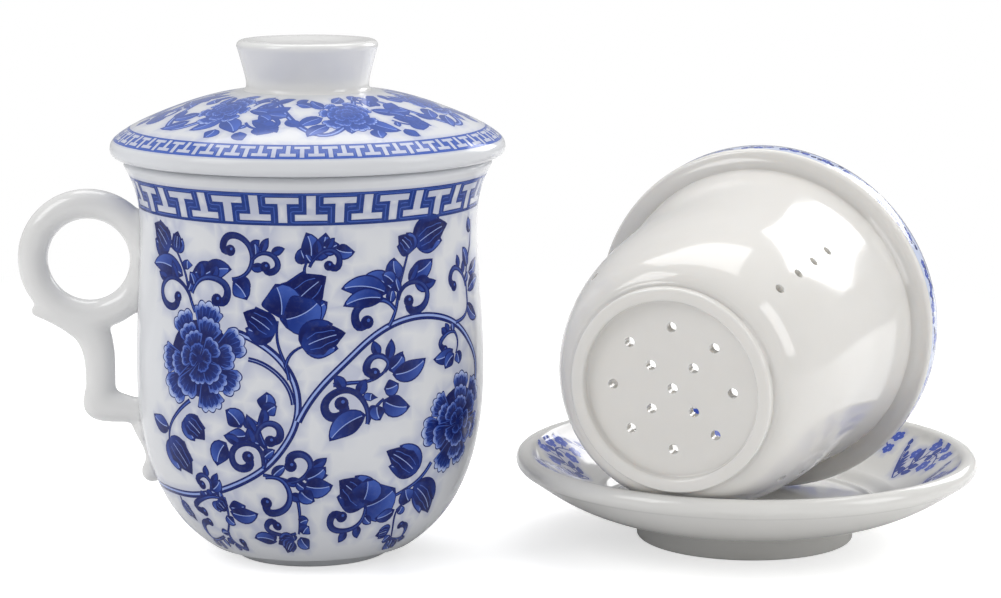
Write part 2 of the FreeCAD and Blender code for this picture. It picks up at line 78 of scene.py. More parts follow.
# %% A smooth curve
def smooth(points, start=None, end=None, steps=24):
    """Points on a smooth curve through the given ones, with optional directions at its ends."""
    p = np.array(points, float)
    gap = np.linalg.norm(np.diff(p, axis=0), axis=1)
    n = len(p)
    slope = np.diff(p, axis=0) / gap[:, None]
    matrix = np.zeros((n, n))
    right = np.zeros((n, 2))
    for i in range(1, n - 1):
        matrix[i, i - 1] = gap[i]
        matrix[i, i] = 2 * (gap[i - 1] + gap[i])
        matrix[i, i + 1] = gap[i - 1]
        right[i] = 3 * (gap[i] * slope[i - 1] + gap[i - 1] * slope[i])
    for row, given, near, other in ((0, start, 0, 1), (n - 1, end, n - 2, n - 3)):
        matrix[row, row] = 1
        if given is not None:
            right[row] = np.array(given, float) / np.linalg.norm(given)
        elif n == 2:
            right[row] = slope[0]
        else:
            share = gap[near] / (gap[near] + gap[other])
            right[row] = slope[near] * (1 + share) - slope[other] * share
    way = np.linalg.solve(matrix, right)
    t = np.linspace(0, 1, steps, endpoint=False)[:, None]
    a = (1 + 2 * t) * (1 - t) ** 2
    b = t * (1 - t) ** 2
    c = t * t * (3 - 2 * t)
    d = t * t * (t - 1)
    runs = [a * p[i] + b * gap[i] * way[i] + c * p[i + 1] + d * gap[i] * way[i + 1] for i in range(n - 1)]
    return [tuple(q) for q in np.vstack(runs + [p[-1:]])]


print("a curve through three points:", len(smooth([(0, 0), (5, 4), (10, 0)])), "points")

# %% [markdown]
# A lip or a foot is rounded with a sponge before firing, which leaves small arcs. Each arc goes through
# three points, and runs of curve, arc and straight line are joined end to end. Long straight runs are
# divided, so that a wall has enough rows of faces.

# %% Arcs, corners and runs
LONGEST = 4.0
FOOT_ROUNDING = 0.6


def arc(a, middle, b, steps=10):
    """Points on the circle through three points."""
    ax, ay, bx, by, cx, cy = *a, *middle, *b
    d = 2 * (ax * (by - cy) + bx * (cy - ay) + cx * (ay - by))
    ux = ((ax**2 + ay**2) * (by - cy) + (bx**2 + by**2) * (cy - ay) + (cx**2 + cy**2) * (ay - by)) / d
    uy = ((ax**2 + ay**2) * (cx - bx) + (bx**2 + by**2) * (ax - cx) + (cx**2 + cy**2) * (bx - ax)) / d
    radius = math.hypot(ax - ux, ay - uy)
    turns = [math.atan2(y - uy, x - ux) for x, y in (a, middle, b)]
    sweep = (turns[2] - turns[0]) % FULL_TURN
    if (turns[1] - turns[0]) % FULL_TURN > sweep:
        sweep -= FULL_TURN
    angles = [turns[0] + sweep * i / steps for i in range(steps + 1)]
    return [(ux + radius * math.cos(t), uy + radius * math.sin(t)) for t in angles]


def corner(a, turn, b, radius):
    """Three points' corner rounded off, as points from one side to the other."""
    one = np.array(a, float) - turn
    two = np.array(b, float) - turn
    one = one / np.linalg.norm(one) * radius + turn
    two = two / np.linalg.norm(two) * radius + turn
    t = np.linspace(0, 1, 6)[:, None]
    path = one * (1 - t) ** 2 + 2 * np.array(turn, float) * t * (1 - t) + two * t**2
    return [tuple(q) for q in path]


def joined(*runs):
    """Runs of points end to end, with no point twice and no stretch that is too long."""
    path = []
    for point in (p for run in runs for p in run):
        if path:
            last = path[-1]
            gap = math.dist(last, point)
            if gap < 1e-4:
                continue
            parts = math.ceil(gap / LONGEST)
            for k in range(1, parts):
                share = k / parts
                path.append((last[0] + (point[0] - last[0]) * share, last[1] + (point[1] - last[1]) * share))
        path.append(tuple(float(c) for c in point))
    return path


def lengths(profile):
    """How far along the outline each of its points lies."""
    steps = np.linalg.norm(np.diff(np.array(profile), axis=0), axis=1)
    return np.concatenate([[0], np.cumsum(steps)])


def foot_ring(outer, width, hollow, top):
    """The underside from its centre to the outside of a foot ring. hollow and top are heights."""
    inner = outer - width
    r = FOOT_ROUNDING
    c = r * (1 - math.sqrt(0.5))
    return joined(
        [(0, hollow), (inner - r, hollow)],
        arc((inner - r, hollow), (inner - c, hollow - c), (inner, hollow - r), 4),
        arc((inner, r), (inner + c, c), (inner + r, 0), 4),
        arc((outer - r, 0), (outer - c, c), (outer, r), 4),
        [(outer, top - r), (outer, top)],
    )


# %% [markdown]
# The mug's outline starts under the foot, climbs the outside, turns over the lip and comes down the
# inside to the middle of the floor. One closed outline gives the wall its thickness, where a single skin
# would need Solidify.

# %% The mug's outline
MUG_SIDE = [(24, 3), (31.3, 9.8), (36.9, 20.8), (39.9, 38), (38.6, 73), (39.3, 84), (42, 90.75)]
MUG_INSIDE = [(21.1, 5.7), (28.11, 11.54), (34, 21.67), (37, 38), (35.7, 73), (36.4, 84), (39.1, 90.75)]
mug_side = smooth(MUG_SIDE)
mug_profile = joined(
    foot_ring(18.0, 2.8, 2.1, 2.1),
    mug_side,
    arc((42, 90.75), (40.55, 92.2), (39.1, 90.75)),
    smooth(MUG_INSIDE, (1, 0), (0.35, 1))[::-1],
    [(0, 5.7)],
)
print("mug outline", len(mug_profile), "points")

# %% [markdown]
# The lid is a dome with a ring beneath that drops inside the lip. The knob was cast apart and stuck on
# with slip. It is hollow, so the lid's outline stops at the mouth of the hollow and the knob's closes it
# from within.

# %% The lid's and the knob's outlines
WIDEST = 94.81
RISE = 12.9
MOUTH = 10.8
DOME_SHARES = ((1, 0), (0.955, 0.21), (0.845, 0.43), (0.7, 0.64), (0.51, 0.855), (0.34, 0.965), (0, 1))
dome = smooth([(45 * r, WIDEST + RISE * z) for r, z in DOME_SHARES], (0, 1), (-1, 0), 16)
hollow = smooth([(31.8, 92.5), (30.2, 99.84), (20.7, 102.96), (0, 104.51)], (0, 1), (-1, 0), 12)
under_top = [p for p in hollow if p[0] >= MOUTH]
lid_profile = joined(
    under_top[::-1],
    [(31.8, 90.8)],
    arc((31.8, 89.3), (33.2, 87.9), (34.6, 89.3), 8),
    corner((34.6, 89.3), (34.6, 92.5), (43, 92.5), 0.5),
    arc((43, 92.5), (44.5, 93.05), (45, WIDEST), 6),
    [p for p in dome if p[0] >= MOUTH],
    [(MOUTH, 107.0), (MOUTH, under_top[-1][1])],
)
knob_profile = joined(
    [(0, 114.89)],
    arc((8.8, 114.89), (10.21, 114.3), (10.8, 112.89), 5),
    [(10.8, 107.5), (14.6, 107.2)],
    smooth([(14.6, 107.38), (14.12, 107.9), (14.0, 109.0), (14.65, 112.2), (16.1, 117.39)], (-1, 0.45),
           steps=8),
    arc((16.1, 117.39), (15.72, 118.31), (14.8, 118.69), 6),
    smooth([(14.8, 118.69), (8.86, 118.01), (0, 117.79)], (-1, 0), (-1, 0), 8),
)
print("lid outline", len(lid_profile), "points, knob", len(knob_profile))

# %% [markdown]
# The print on such a mug is a transfer: cobalt ink on a thin film, laid on the fired wall and glazed
# over. An image would be the usual way to show it. Here it is drawn flat as closed shapes and then laid
# round the form, so that a thin line stays sharp from any distance. Cobalt goes from nearly black where
# it lies thick to a pale wash.

# %% Inks and paths
INK = {
    "line": (0.004, 0.014, 0.135),
    "deep": (0.003, 0.008, 0.095),
    "mid": (0.010, 0.034, 0.230),
    "soft": (0.045, 0.100, 0.420),
    "pale": (0.280, 0.370, 0.720),
    "wash": (0.460, 0.550, 0.820),
    "mist": (0.560, 0.620, 0.790),
    "border": (0.009, 0.036, 0.215),
    "twig": (0.030, 0.065, 0.400),
}
LINE = 0.34


def sampled(path, step, fewest):
    """A path cut into even steps of about the given length."""
    along = lengths(path)
    at = np.linspace(0, along[-1], max(fewest, int(along[-1] / step)) + 1)
    return np.column_stack([np.interp(at, along, path[:, k]) for k in (0, 1)])


def path_through(points, step=0.95):
    """A smooth path through points."""
    if len(points) == 2:
        points = [points[0], tuple((a + b) / 2 for a, b in zip(*points)), points[1]]
    return sampled(np.array(smooth(points, steps=12)), step, 4)


def traced(points, step=0.7):
    """A path of straight runs."""
    return sampled(np.array(points, float), step, 2)


def band(path, left, right):
    """The closed shape between two offsets of a path."""
    way = np.gradient(path, axis=0)
    way /= np.linalg.norm(way, axis=1)[:, None] + 1e-9
    side = np.column_stack([-way[:, 1], way[:, 0]])
    a = path + side * np.asarray(left)[..., None]
    b = path - side * np.asarray(right)[..., None]
    return np.vstack([a, b[::-1]])


def disc(centre, radius, count):
    """A round shape of count points."""
    turn = np.linspace(0, FULL_TURN, count, endpoint=False)
    return np.column_stack([centre[0] + radius * np.cos(turn), centre[1] + radius * np.sin(turn)])


print("inks:", ", ".join(INK))

# %% [markdown]
# A drawing is a list of shapes, each with its ink, in the order in which a painter would lay them:
# outline first, then fills, then veins. A fill is one tone, or a shade that changes with distance from a
# point, as a loaded brush leaves it. A main stem is a dark stroke with a pale core, and a side stem thins
# towards its end.

# %% Strokes, dots and stems
def flat(name):
    return ("flat", INK[name], None)


def shade(near, far, centre, start, end):
    """A wash of ink that changes from one tone to another with distance from a point."""
    return ("shade", (INK[near], INK[far]), (centre, start, end))


def stroke(ink, path, half, tone):
    ink.append((band(path, half, half), flat(tone)))


def dot(ink, centre, radius, tone, count=14):
    ink.append((disc(centre, radius, count), flat(tone)))


def vine(ink, width, *points):
    """A main stem: a dark stroke with a pale core."""
    path = path_through(points)
    half = width / 2
    stroke(ink, path, half, "line")
    core = half - LINE * 1.35
    ink.append((band(path, core * 1.1, core * 0.3), flat("pale")))


def stem(ink, width, *points):
    """A side stem, broad at its root and thin at its end."""
    path = path_through(points)
    half = np.linspace(width / 2, width / 3.2, len(path))
    stroke(ink, path, half, "line")
    if width > 0.75:
        core = np.clip(half - LINE * 0.95, 0.02, None)
        ink.append((band(path, core, core * 0.4), flat("soft")))


# %% [markdown]
# A leaf is one bent stroke of the brush that swells and comes to a point, with a rib and one half darker
# than the other. A bud is a folded, toothed blade over two small leaves. A curl is the comma that fills
# the gaps of such a scroll: it winds in to a round head and carries leaflets on its outer side.

# %% Leaves, buds and curls
def leaf(ink, width, base, tip, dark=False, bend=0.10):
    """A pointed leaf with a dark edge, a rib and one half in shade."""
    base = np.array(base, float)
    run = np.array(tip, float) - base
    long = np.linalg.norm(run)
    side = np.array([-run[1], run[0]]) / long
    lean = bend * long * (1 if (int(base[0] * 7 + base[1] * 3) % 2) else -1)
    t = np.linspace(0, 1, max(8, int(long / 0.75)))[:, None]
    path = base + run * t + side * lean * 4 * t * (1 - t)
    t = t[:, 0]
    half = np.clip(width / 2 * 1.45 * np.sin(math.pi * t**0.85) ** 0.8, 0.03, None)
    half[-1] = 0.02
    stroke(ink, path, half, "line")
    inner = np.clip(half - LINE, 0.0, None)
    keep = inner > 0.05
    if keep.sum() < 3:
        return
    path = path[keep]
    inner = inner[keep]
    rib = np.full(len(path), LINE * 0.30)
    stroke(ink, path, rib, "mid" if dark else "pale")
    far = "mid" if dark else "soft"
    ink.append((band(path, inner, -rib), shade("deep", "mid", tuple(base), long * 0.3, long)))
    ink.append((band(path, -rib, inner), shade("mid", far, tuple(base), long * 0.25, long * 0.95)))


def bud(ink, width, base, tip):
    """A folded leaf bud: a dark toothed blade over two small leaves."""
    base = np.array(base, float)
    run = np.array(tip, float) - base
    long = np.linalg.norm(run)
    side = np.array([-run[1], run[0]]) / long
    way = 1 if run[0] >= 0 else -1
    for reach, off, wide, bend in ((0.80, 0.42, 0.62, 0.10), (0.74, -0.40, 0.55, 0.05)):
        leaf(ink, width * wide, base, base + run * reach + side * width * off * way, bend=bend)
    t = np.linspace(0.02, 1, max(12, int(long / 0.65)))
    half = width / 2 * np.sin(math.pi * np.clip(t, 0, 1) ** 0.75) ** 0.75 * 0.92
    tooth = np.where(t > 0.36, 1 + 0.09 * np.cos(t * 17), 1)
    path = base + np.outer(t, run) + np.outer(4 * t * (1 - t), side * long * 0.05 * way)
    half = np.clip(half * tooth, 0.03, None)
    stroke(ink, path, half, "line")
    inner = np.clip(half - LINE * 0.8, 0.02, None)
    ink.append((band(path, inner, inner), shade("mid", "deep", tuple(base), 0.0, long * 0.55)))
    for share in (-0.5, 0.0, 0.5):
        rib = path[2:-3] + side * (half[2:-3] * share)[:, None]
        if len(rib) > 3:
            stroke(ink, rib, 0.09, "soft" if share else "pale")


def curl(ink, width, *points):
    """A comma: a stroke that winds inwards to a round head, with leaflets along its outer side."""
    path = path_through(points, 0.55)
    t = np.linspace(0, 1, len(path))
    half = width / 2 * (0.40 + 0.55 * t**1.2)
    head = width * 0.62
    centre = path[-1]
    for share, size in ((0.10, 1.9), (0.27, 2.3), (0.44, 2.0)):
        k = int(share * (len(path) - 1))
        way = path[k + 1] - path[k]
        away = path[k] - centre
        way = way / np.linalg.norm(way) * 0.7 + away / (np.linalg.norm(away) + 1e-6) * 0.9
        leaf(ink, width * 0.75, path[k], path[k] + way * width * size * 0.8, share > 0.2, 0.06)
    dot(ink, centre, head, "line")
    stroke(ink, path, half, "line")
    inner = np.clip(half - LINE, 0.03, None)
    cut = t < 0.93
    span = float(lengths(path)[-1])
    fill = shade("deep", "soft", tuple(centre), head * 1.1, max(head * 2.6, span * 0.5))
    ink.append((band(path[cut], inner[cut] * 1.1, inner[cut] * 0.6), fill))
    dot(ink, centre, head * 0.80, "deep")
    dot(ink, centre + np.array([head * 0.2, head * 0.25]), head * 0.26, "soft", 8)


# %% [markdown]
# The peony is a traditional ornament. Its ruffled petals lie over one another, each dark at its
# root and pale at its scalloped rim, and the rings of petals get smaller towards the heart. The small
# blossom has five round petals.

# %% Flowers
PETAL_RINGS = (
    (7, 0.26, 0.76, 0.50, "wash", 0.3),
    (6, 0.14, 0.62, 0.52, "pale", 0.0),
    (5, 0.06, 0.45, 0.66, "pale", 0.55),
    (4, 0.02, 0.27, 0.80, "soft", 0.2),
)


def petal(ink, centre, heading, reach, spread, rim, waves):
    """One ruffled petal: a dark edge, a pale scalloped rim and a deep body with fine veins."""
    t = np.linspace(-1, 1, 25)
    scallop = 0.925 + 0.075 * np.abs(np.cos(t * math.pi * waves / 2))
    out = reach * (1 - 0.14 * np.abs(t) ** 3) * scallop
    root = np.array(centre, float)

    def blade(scale, narrow):
        turn = heading + t * spread * narrow
        edge = np.column_stack([root[0] + out * scale * np.cos(turn), root[1] + out * scale * np.sin(turn)])
        return np.vstack([root[None, :], edge])

    full = 1 - LINE * 0.85 / reach
    ink.append((blade(1, 1), flat("line")))
    ink.append((blade(full, 0.96), shade("soft", rim, tuple(centre), reach * 0.78, reach * 0.95)))
    ink.append((blade(full - 0.11, 0.86), shade("deep", "mid", tuple(centre), reach * 0.45, reach * 0.9)))
    veins = max(4, int(spread * reach / 0.8))
    for k in range(veins):
        share = (k + 0.5) / veins * 2 - 1
        way = heading + share * spread * 0.80
        a = np.array([math.cos(way), math.sin(way)])
        across = np.array([-a[1], a[0]]) * 0.12
        base = root + a * reach * 0.88
        vein = np.array([base - across, root + a * reach * (0.55 + 0.1 * (k % 2)), base + across])
        ink.append((vein, flat("soft")))


def peony(ink, radius, centre, turn=0.0):
    """A full bloom: four rings of ruffled petals over one another round a dark heart."""
    cx, cy = centre
    dot(ink, centre, radius * 0.70, "deep", 24)
    for count, at, reach, spread, rim, shift in PETAL_RINGS:
        for k in range(count):
            way = turn + shift + 2 * math.pi * (k + 0.12 * math.sin(k * 2.7)) / count
            root = (cx + radius * at * math.cos(way), cy + radius * at * math.sin(way))
            size = radius * reach * (1 + 0.09 * math.sin(k * 1.9 + turn))
            petal(ink, root, way, size, spread, rim, 3 + k % 2)
    dot(ink, centre, radius * 0.08, "line", 10)


def blossom(ink, radius, centre, turn):
    """A small five-petalled flower, as on the saucer and the infuser's collar."""
    cx, cy = centre
    for at, size, tone, count in ((0.58, 0.46, "twig", 9), (0.62, 0.20, "soft", 6)):
        for k in range(5):
            way = turn + 2 * math.pi * k / 5
            spot = (cx + radius * at * math.cos(way), cy + radius * at * math.sin(way))
            dot(ink, spot, radius * size, tone, count)
    dot(ink, centre, radius * 0.17, "pale", 7)


bloom = []
peony(bloom, 12.3, (0, 0))
print("one peony takes", len(bloom), "shapes")

# %% [markdown]
# The stems, leaves and curls of the peony scroll stand in one table, in millimetres on the unrolled wall:
# first round the wall from the middle of the front, then up from the foot. Each row is a motif, its
# width, and the points of its stroke from root to tip. Rows that come later lie over the earlier ones.

# %% The scroll
SCROLL = (
    ("curl", 1.5, (-52.8, 18), (-57, 18.6), (-60.4, 21.8), (-59.4, 26), (-55.9, 26.2), (-55.6, 23.4)),
    ("vine", 1.35, (-53.5, 18), (-39.8, 18.4), (-30.2, 18.9), (-21.4, 20.9), (-14.2, 23.8), (-7.9, 27.7),
     (-3.3, 32.9), (-0.8, 37.9), (-0.2, 43.3), (-1.2, 47.7), (-4.6, 52.7), (-9.5, 56.1), (-14.6, 57.9)),
    ("vine", 0.9, (-1.2, 42.2), (-2.5, 46.4), (-5.1, 49.4), (-7.8, 51.1), (-11.1, 52)),
    ("vine", 1.35, (-0.2, 38.4), (3.2, 44.1), (6.4, 47.8), (10.7, 51.8), (15.7, 56), (21, 58.8),
     (27.5, 60), (34.9, 59.1), (41.6, 56.2), (46.5, 51.9), (49.8, 47), (49.9, 42.5)),
    ("stem", 0.75, (-2, 47.7), (-2.8, 51), (-4.3, 55), (-4.5, 60.6)),
    ("stem", 0.75, (-2.8, 50.5), (-1.9, 53), (0.8, 55)),
    ("stem", 0.7, (1.6, 70.5), (1.5, 72), (2.1, 73.5)),
    ("stem", 0.8, (-24.8, 61.3), (-26.6, 64.8), (-28.1, 69.3), (-29.3, 71.5), (-31.2, 74.1)),
    ("stem", 0.6, (-31.2, 74.1), (-33.1, 74.9), (-34.5, 75.7)),
    ("stem", 0.8, (20.4, 58.6), (22.3, 62.1), (23.2, 66.1), (24.7, 70.6), (26.1, 74.5)),
    ("stem", 0.6, (26.1, 74.5), (27.2, 75.5), (28.6, 75.9)),
    ("stem", 0.8, (40.7, 57.1), (46.5, 59.6), (46.7, 64.3), (47.8, 69.4), (50.6, 74.3), (50.8, 79)),
    ("stem", 0.9, (7.4, 46.5), (11.7, 46.8), (16, 47.1), (19, 48.7)),
    ("stem", 0.7, (39.6, 55.4), (41, 53.1), (40, 50.1)),
    ("stem", 0.9, (14.9, 37.3), (16.1, 39.9), (18.8, 42.7)),
    ("stem", 0.9, (-26.2, 41.5), (-30.7, 37.9), (-33.5, 34.4), (-34.4, 31.5)),
    ("stem", 0.9, (-8.5, 27.4), (-7.4, 31.7), (-8.8, 36), (-7.9, 41)),
    ("stem", 0.7, (-8.6, 26), (-3.6, 25.1), (-0.3, 23.9)),
    ("stem", 0.8, (-1, 20.9), (-0.5, 16.1), (-1.1, 11.3)),
    ("stem", 1.0, (32.9, 26.3), (30.2, 23), (25, 20.3), (18.8, 18.1), (15.7, 17.2)),
    ("stem", 0.7, (-19.6, 19.8), (-20.1, 14.2), (-23, 10)),
    ("stem", 0.6, (28.7, 17.9), (25.2, 16), (26, 10.9), (29.5, 5.6)),
    ("stem", 0.6, (-36.1, 17.6), (-36.7, 14.2)),
    ("peony", 12.3, (-23.3, 51.2)),
    ("peony", 11.6, (41, 34.4)),
    ("bud", 8.6, (-3.9, 60.7), (6.3, 70.3)),
    ("leaf", 4.6, (-3.8, 61.1), (-5.1, 68.7)),
    ("leaf", 4.6, (-3.4, 60.9), (4.8, 65.1)),
    ("bud", 5.4, (-5.1, 57.6), (-12.4, 62.2)),
    ("bud", 5.6, (0.8, 54.8), (10.4, 57.8)),
    ("leaf", 2.0, (2.2, 73.3), (0.8, 76.6)),
    ("leaf", 2.3, (2.8, 73.5), (1.9, 80)),
    ("leaf", 2.2, (3.6, 73.8), (6.3, 79.9)),
    ("leaf", 2.0, (5.2, 76.8), (9.3, 77.3)),
    ("leaf", 1.8, (7.9, 76.5), (12.9, 75.4)),
    ("curl", 1.5, (2.6, 72.3), (4.4, 74.8), (7.1, 76), (9.2, 74.5), (8.7, 72.1), (6.9, 72.6)),
    ("curl", 1.7, (-15.2, 69.3), (-11.2, 71.3), (-10.3, 74.1), (-11.3, 77.2), (-14, 78.9), (-16.8, 78.1),
     (-17.3, 75.8), (-15.6, 75.6)),
    ("curl", 1.6, (-10.3, 73.7), (-7.7, 75.3), (-5.1, 74.4), (-4.6, 72.1), (-6.5, 71.2), (-7.3, 72.3)),
    ("bud", 5.6, (-34, 74.1), (-40.6, 79.4)),
    ("bud", 3.4, (-31.3, 74), (-30.6, 78.7)),
    ("leaf", 2.6, (-28.9, 68.9), (-41, 70.4)),
    ("leaf", 2.2, (-26, 70), (-19.4, 72.8)),
    ("leaf", 2.4, (-22.7, 69.5), (-15.2, 71.4)),
    ("leaf", 2.4, (-15, 68.8), (-11.5, 64.9)),
    ("leaf", 1.8, (-27.4, 70.4), (-27.5, 72.7)),
    ("curl", 1.7, (-26.1, 63.8), (-28.9, 67.1), (-33.9, 68), (-36.5, 65.2), (-34.5, 62.1), (-30.9, 62.4),
     (-30.5, 64.1)),
    ("curl", 1.9, (-25.9, 65.4), (-23.4, 68.7), (-19.1, 69.1), (-16.3, 66.9), (-17.1, 64.3), (-19, 64.5)),
    ("bud", 5.6, (28.1, 75.7), (38.7, 79.5)),
    ("bud", 3.8, (27.1, 74.4), (23.4, 78.2)),
    ("leaf", 2.4, (23.3, 68.2), (22.3, 73.6)),
    ("leaf", 2.4, (26, 69.5), (33.4, 72.3)),
    ("leaf", 2.0, (27.6, 68.3), (33.5, 66.9)),
    ("curl", 1.8, (23, 64.1), (24.5, 66.8), (28.5, 67.6), (31.2, 65.1), (29.4, 61.9), (26.1, 61.8),
     (25.8, 63.7)),
    ("curl", 2.0, (22.1, 62.2), (19.5, 64.4), (15.4, 64.1), (12.6, 61.8), (13.3, 59.1), (15.3, 59.9)),
    ("leaf", 2.4, (22, 66.3), (14.7, 69.9)),
    ("leaf", 2.6, (20.4, 65.9), (9.5, 67.4)),
    ("leaf", 2.2, (19.5, 64.8), (9.9, 63.6)),
    ("leaf", 1.8, (22.2, 67.8), (19.1, 70.1)),
    ("curl", 1.6, (46.3, 64.4), (44.5, 67.8), (40.9, 69.1), (39.4, 66.9), (40.8, 65.2)),
    ("leaf", 1.8, (47.6, 68.4), (45.6, 73.4)),
    ("leaf", 1.8, (48.4, 67.2), (55.3, 69.9)),
    ("leaf", 1.8, (47.4, 63.1), (55.3, 65.1)),
    ("leaf", 1.8, (46.4, 60.7), (52.4, 56.5)),
    ("leaf", 1.6, (50.9, 76.4), (48.9, 79.9)),
    ("curl", 1.5, (39.8, 55.1), (36.2, 54.7), (34.6, 53.2), (36, 51.5)),
    ("leaf", 1.8, (39.1, 51.3), (32.1, 49.9)),
    ("leaf", 1.8, (39.5, 50.1), (35.8, 47.2)),
    ("leaf", 1.7, (40.3, 50.5), (41.2, 47.5)),
    ("curl", 1.9, (19, 48.7), (20, 50.7), (18.1, 52.3), (15.6, 51.6), (14.9, 49.3), (16.6, 48.4)),
    ("leaf", 2.2, (20, 48.9), (23.8, 52.3)),
    ("leaf", 2.4, (20.9, 47.9), (29.9, 50.6)),
    ("leaf", 2.0, (18.8, 44.9), (22.5, 45.8)),
    ("curl", 2.1, (15, 37.6), (14.2, 42.3), (11.1, 45.1), (7.4, 44.5), (5.5, 41.6), (6.8, 39.4),
     (9.7, 40.1), (9.2, 42.3)),
    ("leaf", 2.6, (18.5, 42.4), (25.4, 40.3)),
    ("leaf", 2.0, (17.2, 41.5), (18, 37.9)),
    ("leaf", 1.8, (16, 44.2), (15.7, 42.4)),
    ("leaf", 2.8, (14.6, 39.5), (6.5, 33.9)),
    ("bud", 4.8, (-28.1, 37.4), (-22.5, 32.9)),
    ("bud", 6.2, (-34.3, 31.8), (-28, 24.1)),
    ("leaf", 2.2, (-33.8, 34.4), (-40.5, 36.3)),
    ("leaf", 2.2, (-7.9, 40.7), (-7, 45)),
    ("leaf", 1.8, (-7.4, 39.9), (-4.7, 41.9)),
    ("leaf", 2.4, (-13, 36.6), (-16.7, 40.4)),
    ("leaf", 2.0, (-11.4, 35.1), (-16.6, 35.1)),
    ("leaf", 2.6, (-16.8, 33), (-19.9, 27.2)),
    ("leaf", 1.8, (-10.3, 36.5), (-10.7, 39.2)),
    ("curl", 1.8, (-7.6, 32.2), (-9.3, 35.5), (-6.9, 37.9), (-4.5, 37), (-4.4, 34.6), (-6.4, 33.9)),
    ("curl", 1.9, (-8.3, 28.1), (-9.8, 32.7), (-13.2, 32.9), (-15.7, 30.3), (-14.6, 27.4), (-11.6, 28),
     (-11.8, 30)),
    ("curl", 1.5, (-23.5, 20.6), (-22.8, 23.2), (-24.4, 24.5), (-26.6, 23.1), (-25.5, 22)),
    ("leaf", 1.6, (-22.8, 21.1), (-19.8, 24)),
    ("curl", 1.6, (-19.8, 19.2), (-25.9, 18.8), (-30.3, 15.9), (-27.9, 15)),
    ("bud", 3.8, (-22.1, 18.6), (-20.1, 16.1)),
    ("leaf", 2.0, (-18.9, 17.4), (-14, 18.2)),
    ("leaf", 2.2, (-19, 16.2), (-11, 16.4)),
    ("leaf", 1.6, (-20.5, 15.1), (-18.5, 12.8)),
    ("curl", 1.5, (-25.1, 8.9), (-32.4, 8.3), (-31.3, 11), (-27.7, 12.4)),
    ("curl", 1.5, (-22.2, 10.8), (-22.4, 7.4), (-19.8, 5.9), (-19.2, 7.9)),
    ("bud", 2.6, (-36.3, 16.6), (-33.6, 11.6)),
    ("leaf", 2.2, (-45.6, 11.4), (-47.6, 6.5)),
    ("curl", 1.9, (-8.1, 25.4), (-4.1, 24.7), (-2.6, 21.5), (-4.6, 17.5), (-8.4, 17.1), (-8.5, 19.2)),
    ("curl", 1.9, (-2.2, 24.4), (1.1, 25.9), (2.4, 28.7), (0.5, 31), (-2, 30.4), (-2.1, 28.3)),
    ("leaf", 2.0, (0.8, 25.1), (5.8, 28.1)),
    ("leaf", 2.6, (0.5, 23.8), (7.5, 23.6)),
    ("leaf", 2.0, (-0.2, 22.6), (3.3, 19.8)),
    ("leaf", 1.6, (-0.7, 14.2), (1.7, 15.1)),
    ("curl", 1.6, (-1.8, 11.6), (-6.4, 11.1), (-9.6, 12.9), (-8, 14.6), (-6.6, 13.4)),
    ("leaf", 1.8, (-7.6, 9), (-14.3, 9.6)),
    ("bud", 2.8, (-2.5, 9.9), (-7.5, 8.3)),
    ("bud", 2.8, (-2.9, 9.5), (-5.5, 5.7)),
    ("leaf", 2.0, (-0.7, 10.6), (1.7, 7.1)),
    ("leaf", 1.8, (0, 11.3), (1.8, 13.5)),
    ("bud", 6.4, (15.6, 17.8), (8.8, 24.7)),
    ("leaf", 5.4, (15.3, 17.7), (23.2, 21.6)),
    ("leaf", 4.0, (14.9, 18.8), (15.5, 24.8)),
    ("bud", 5.2, (28.5, 24.4), (19.7, 30.7)),
    ("bud", 4.6, (28.5, 21.4), (38, 13)),
    ("leaf", 2.4, (28.5, 17.4), (26.2, 21.3)),
    ("curl", 1.9, (15.9, 17.2), (14.8, 13.5), (11.1, 11.9), (7.2, 13.7), (7.8, 16.2), (10, 15.6)),
    ("leaf", 1.8, (24.4, 16.1), (19, 14.4)),
    ("leaf", 1.6, (25.7, 14.7), (26.4, 16.8)),
    ("bud", 2.6, (25.1, 10.4), (21, 9.5)),
    ("leaf", 1.6, (26.3, 9.2), (24.6, 7.4)),
    ("leaf", 1.6, (26.9, 8.1), (31.6, 4.2)),
    ("curl", 1.4, (27.5, 8), (31.9, 8.2), (31, 10.6), (28.4, 11.5)),
    ("curl", 1.2, (54.8, 8.8), (51.1, 11.3), (55.3, 12.8)),
)
print("rows in the scroll:", len(SCROLL))

# %% [markdown]
# A real mug gets two equal transfers, front and back, with the handle between them, so the same table is
# drawn twice. The leaves and buds are broadened a little against the table, which gives the full blue of
# old wares.

# %% One transfer of the scroll
MOTIFS = {
    "vine": (vine, 1.2), "stem": (stem, 1.2), "leaf": (leaf, 1.38), "bud": (bud, 1.22), "curl": (curl, 1.22),
}


def scroll(ink, shift):
    """One transfer of the scroll, moved round the wall."""
    for kind, size, *points in SCROLL:
        moved = [(u + shift, z) for u, z in points]
        if kind == "peony":
            peony(ink, size, moved[0], 0.4 + size)
        else:
            draw, grown = MOTIFS[kind]
            draw(ink, size * grown, *moved)


# %% [markdown]
# The key border is a row of white T shapes, upright and hanging by turns. What is inked is the channel
# between them, with a paler line down its middle, and two rules close it above and below. One unit is two
# T shapes, and a whole number of units goes round, so the border closes on itself.

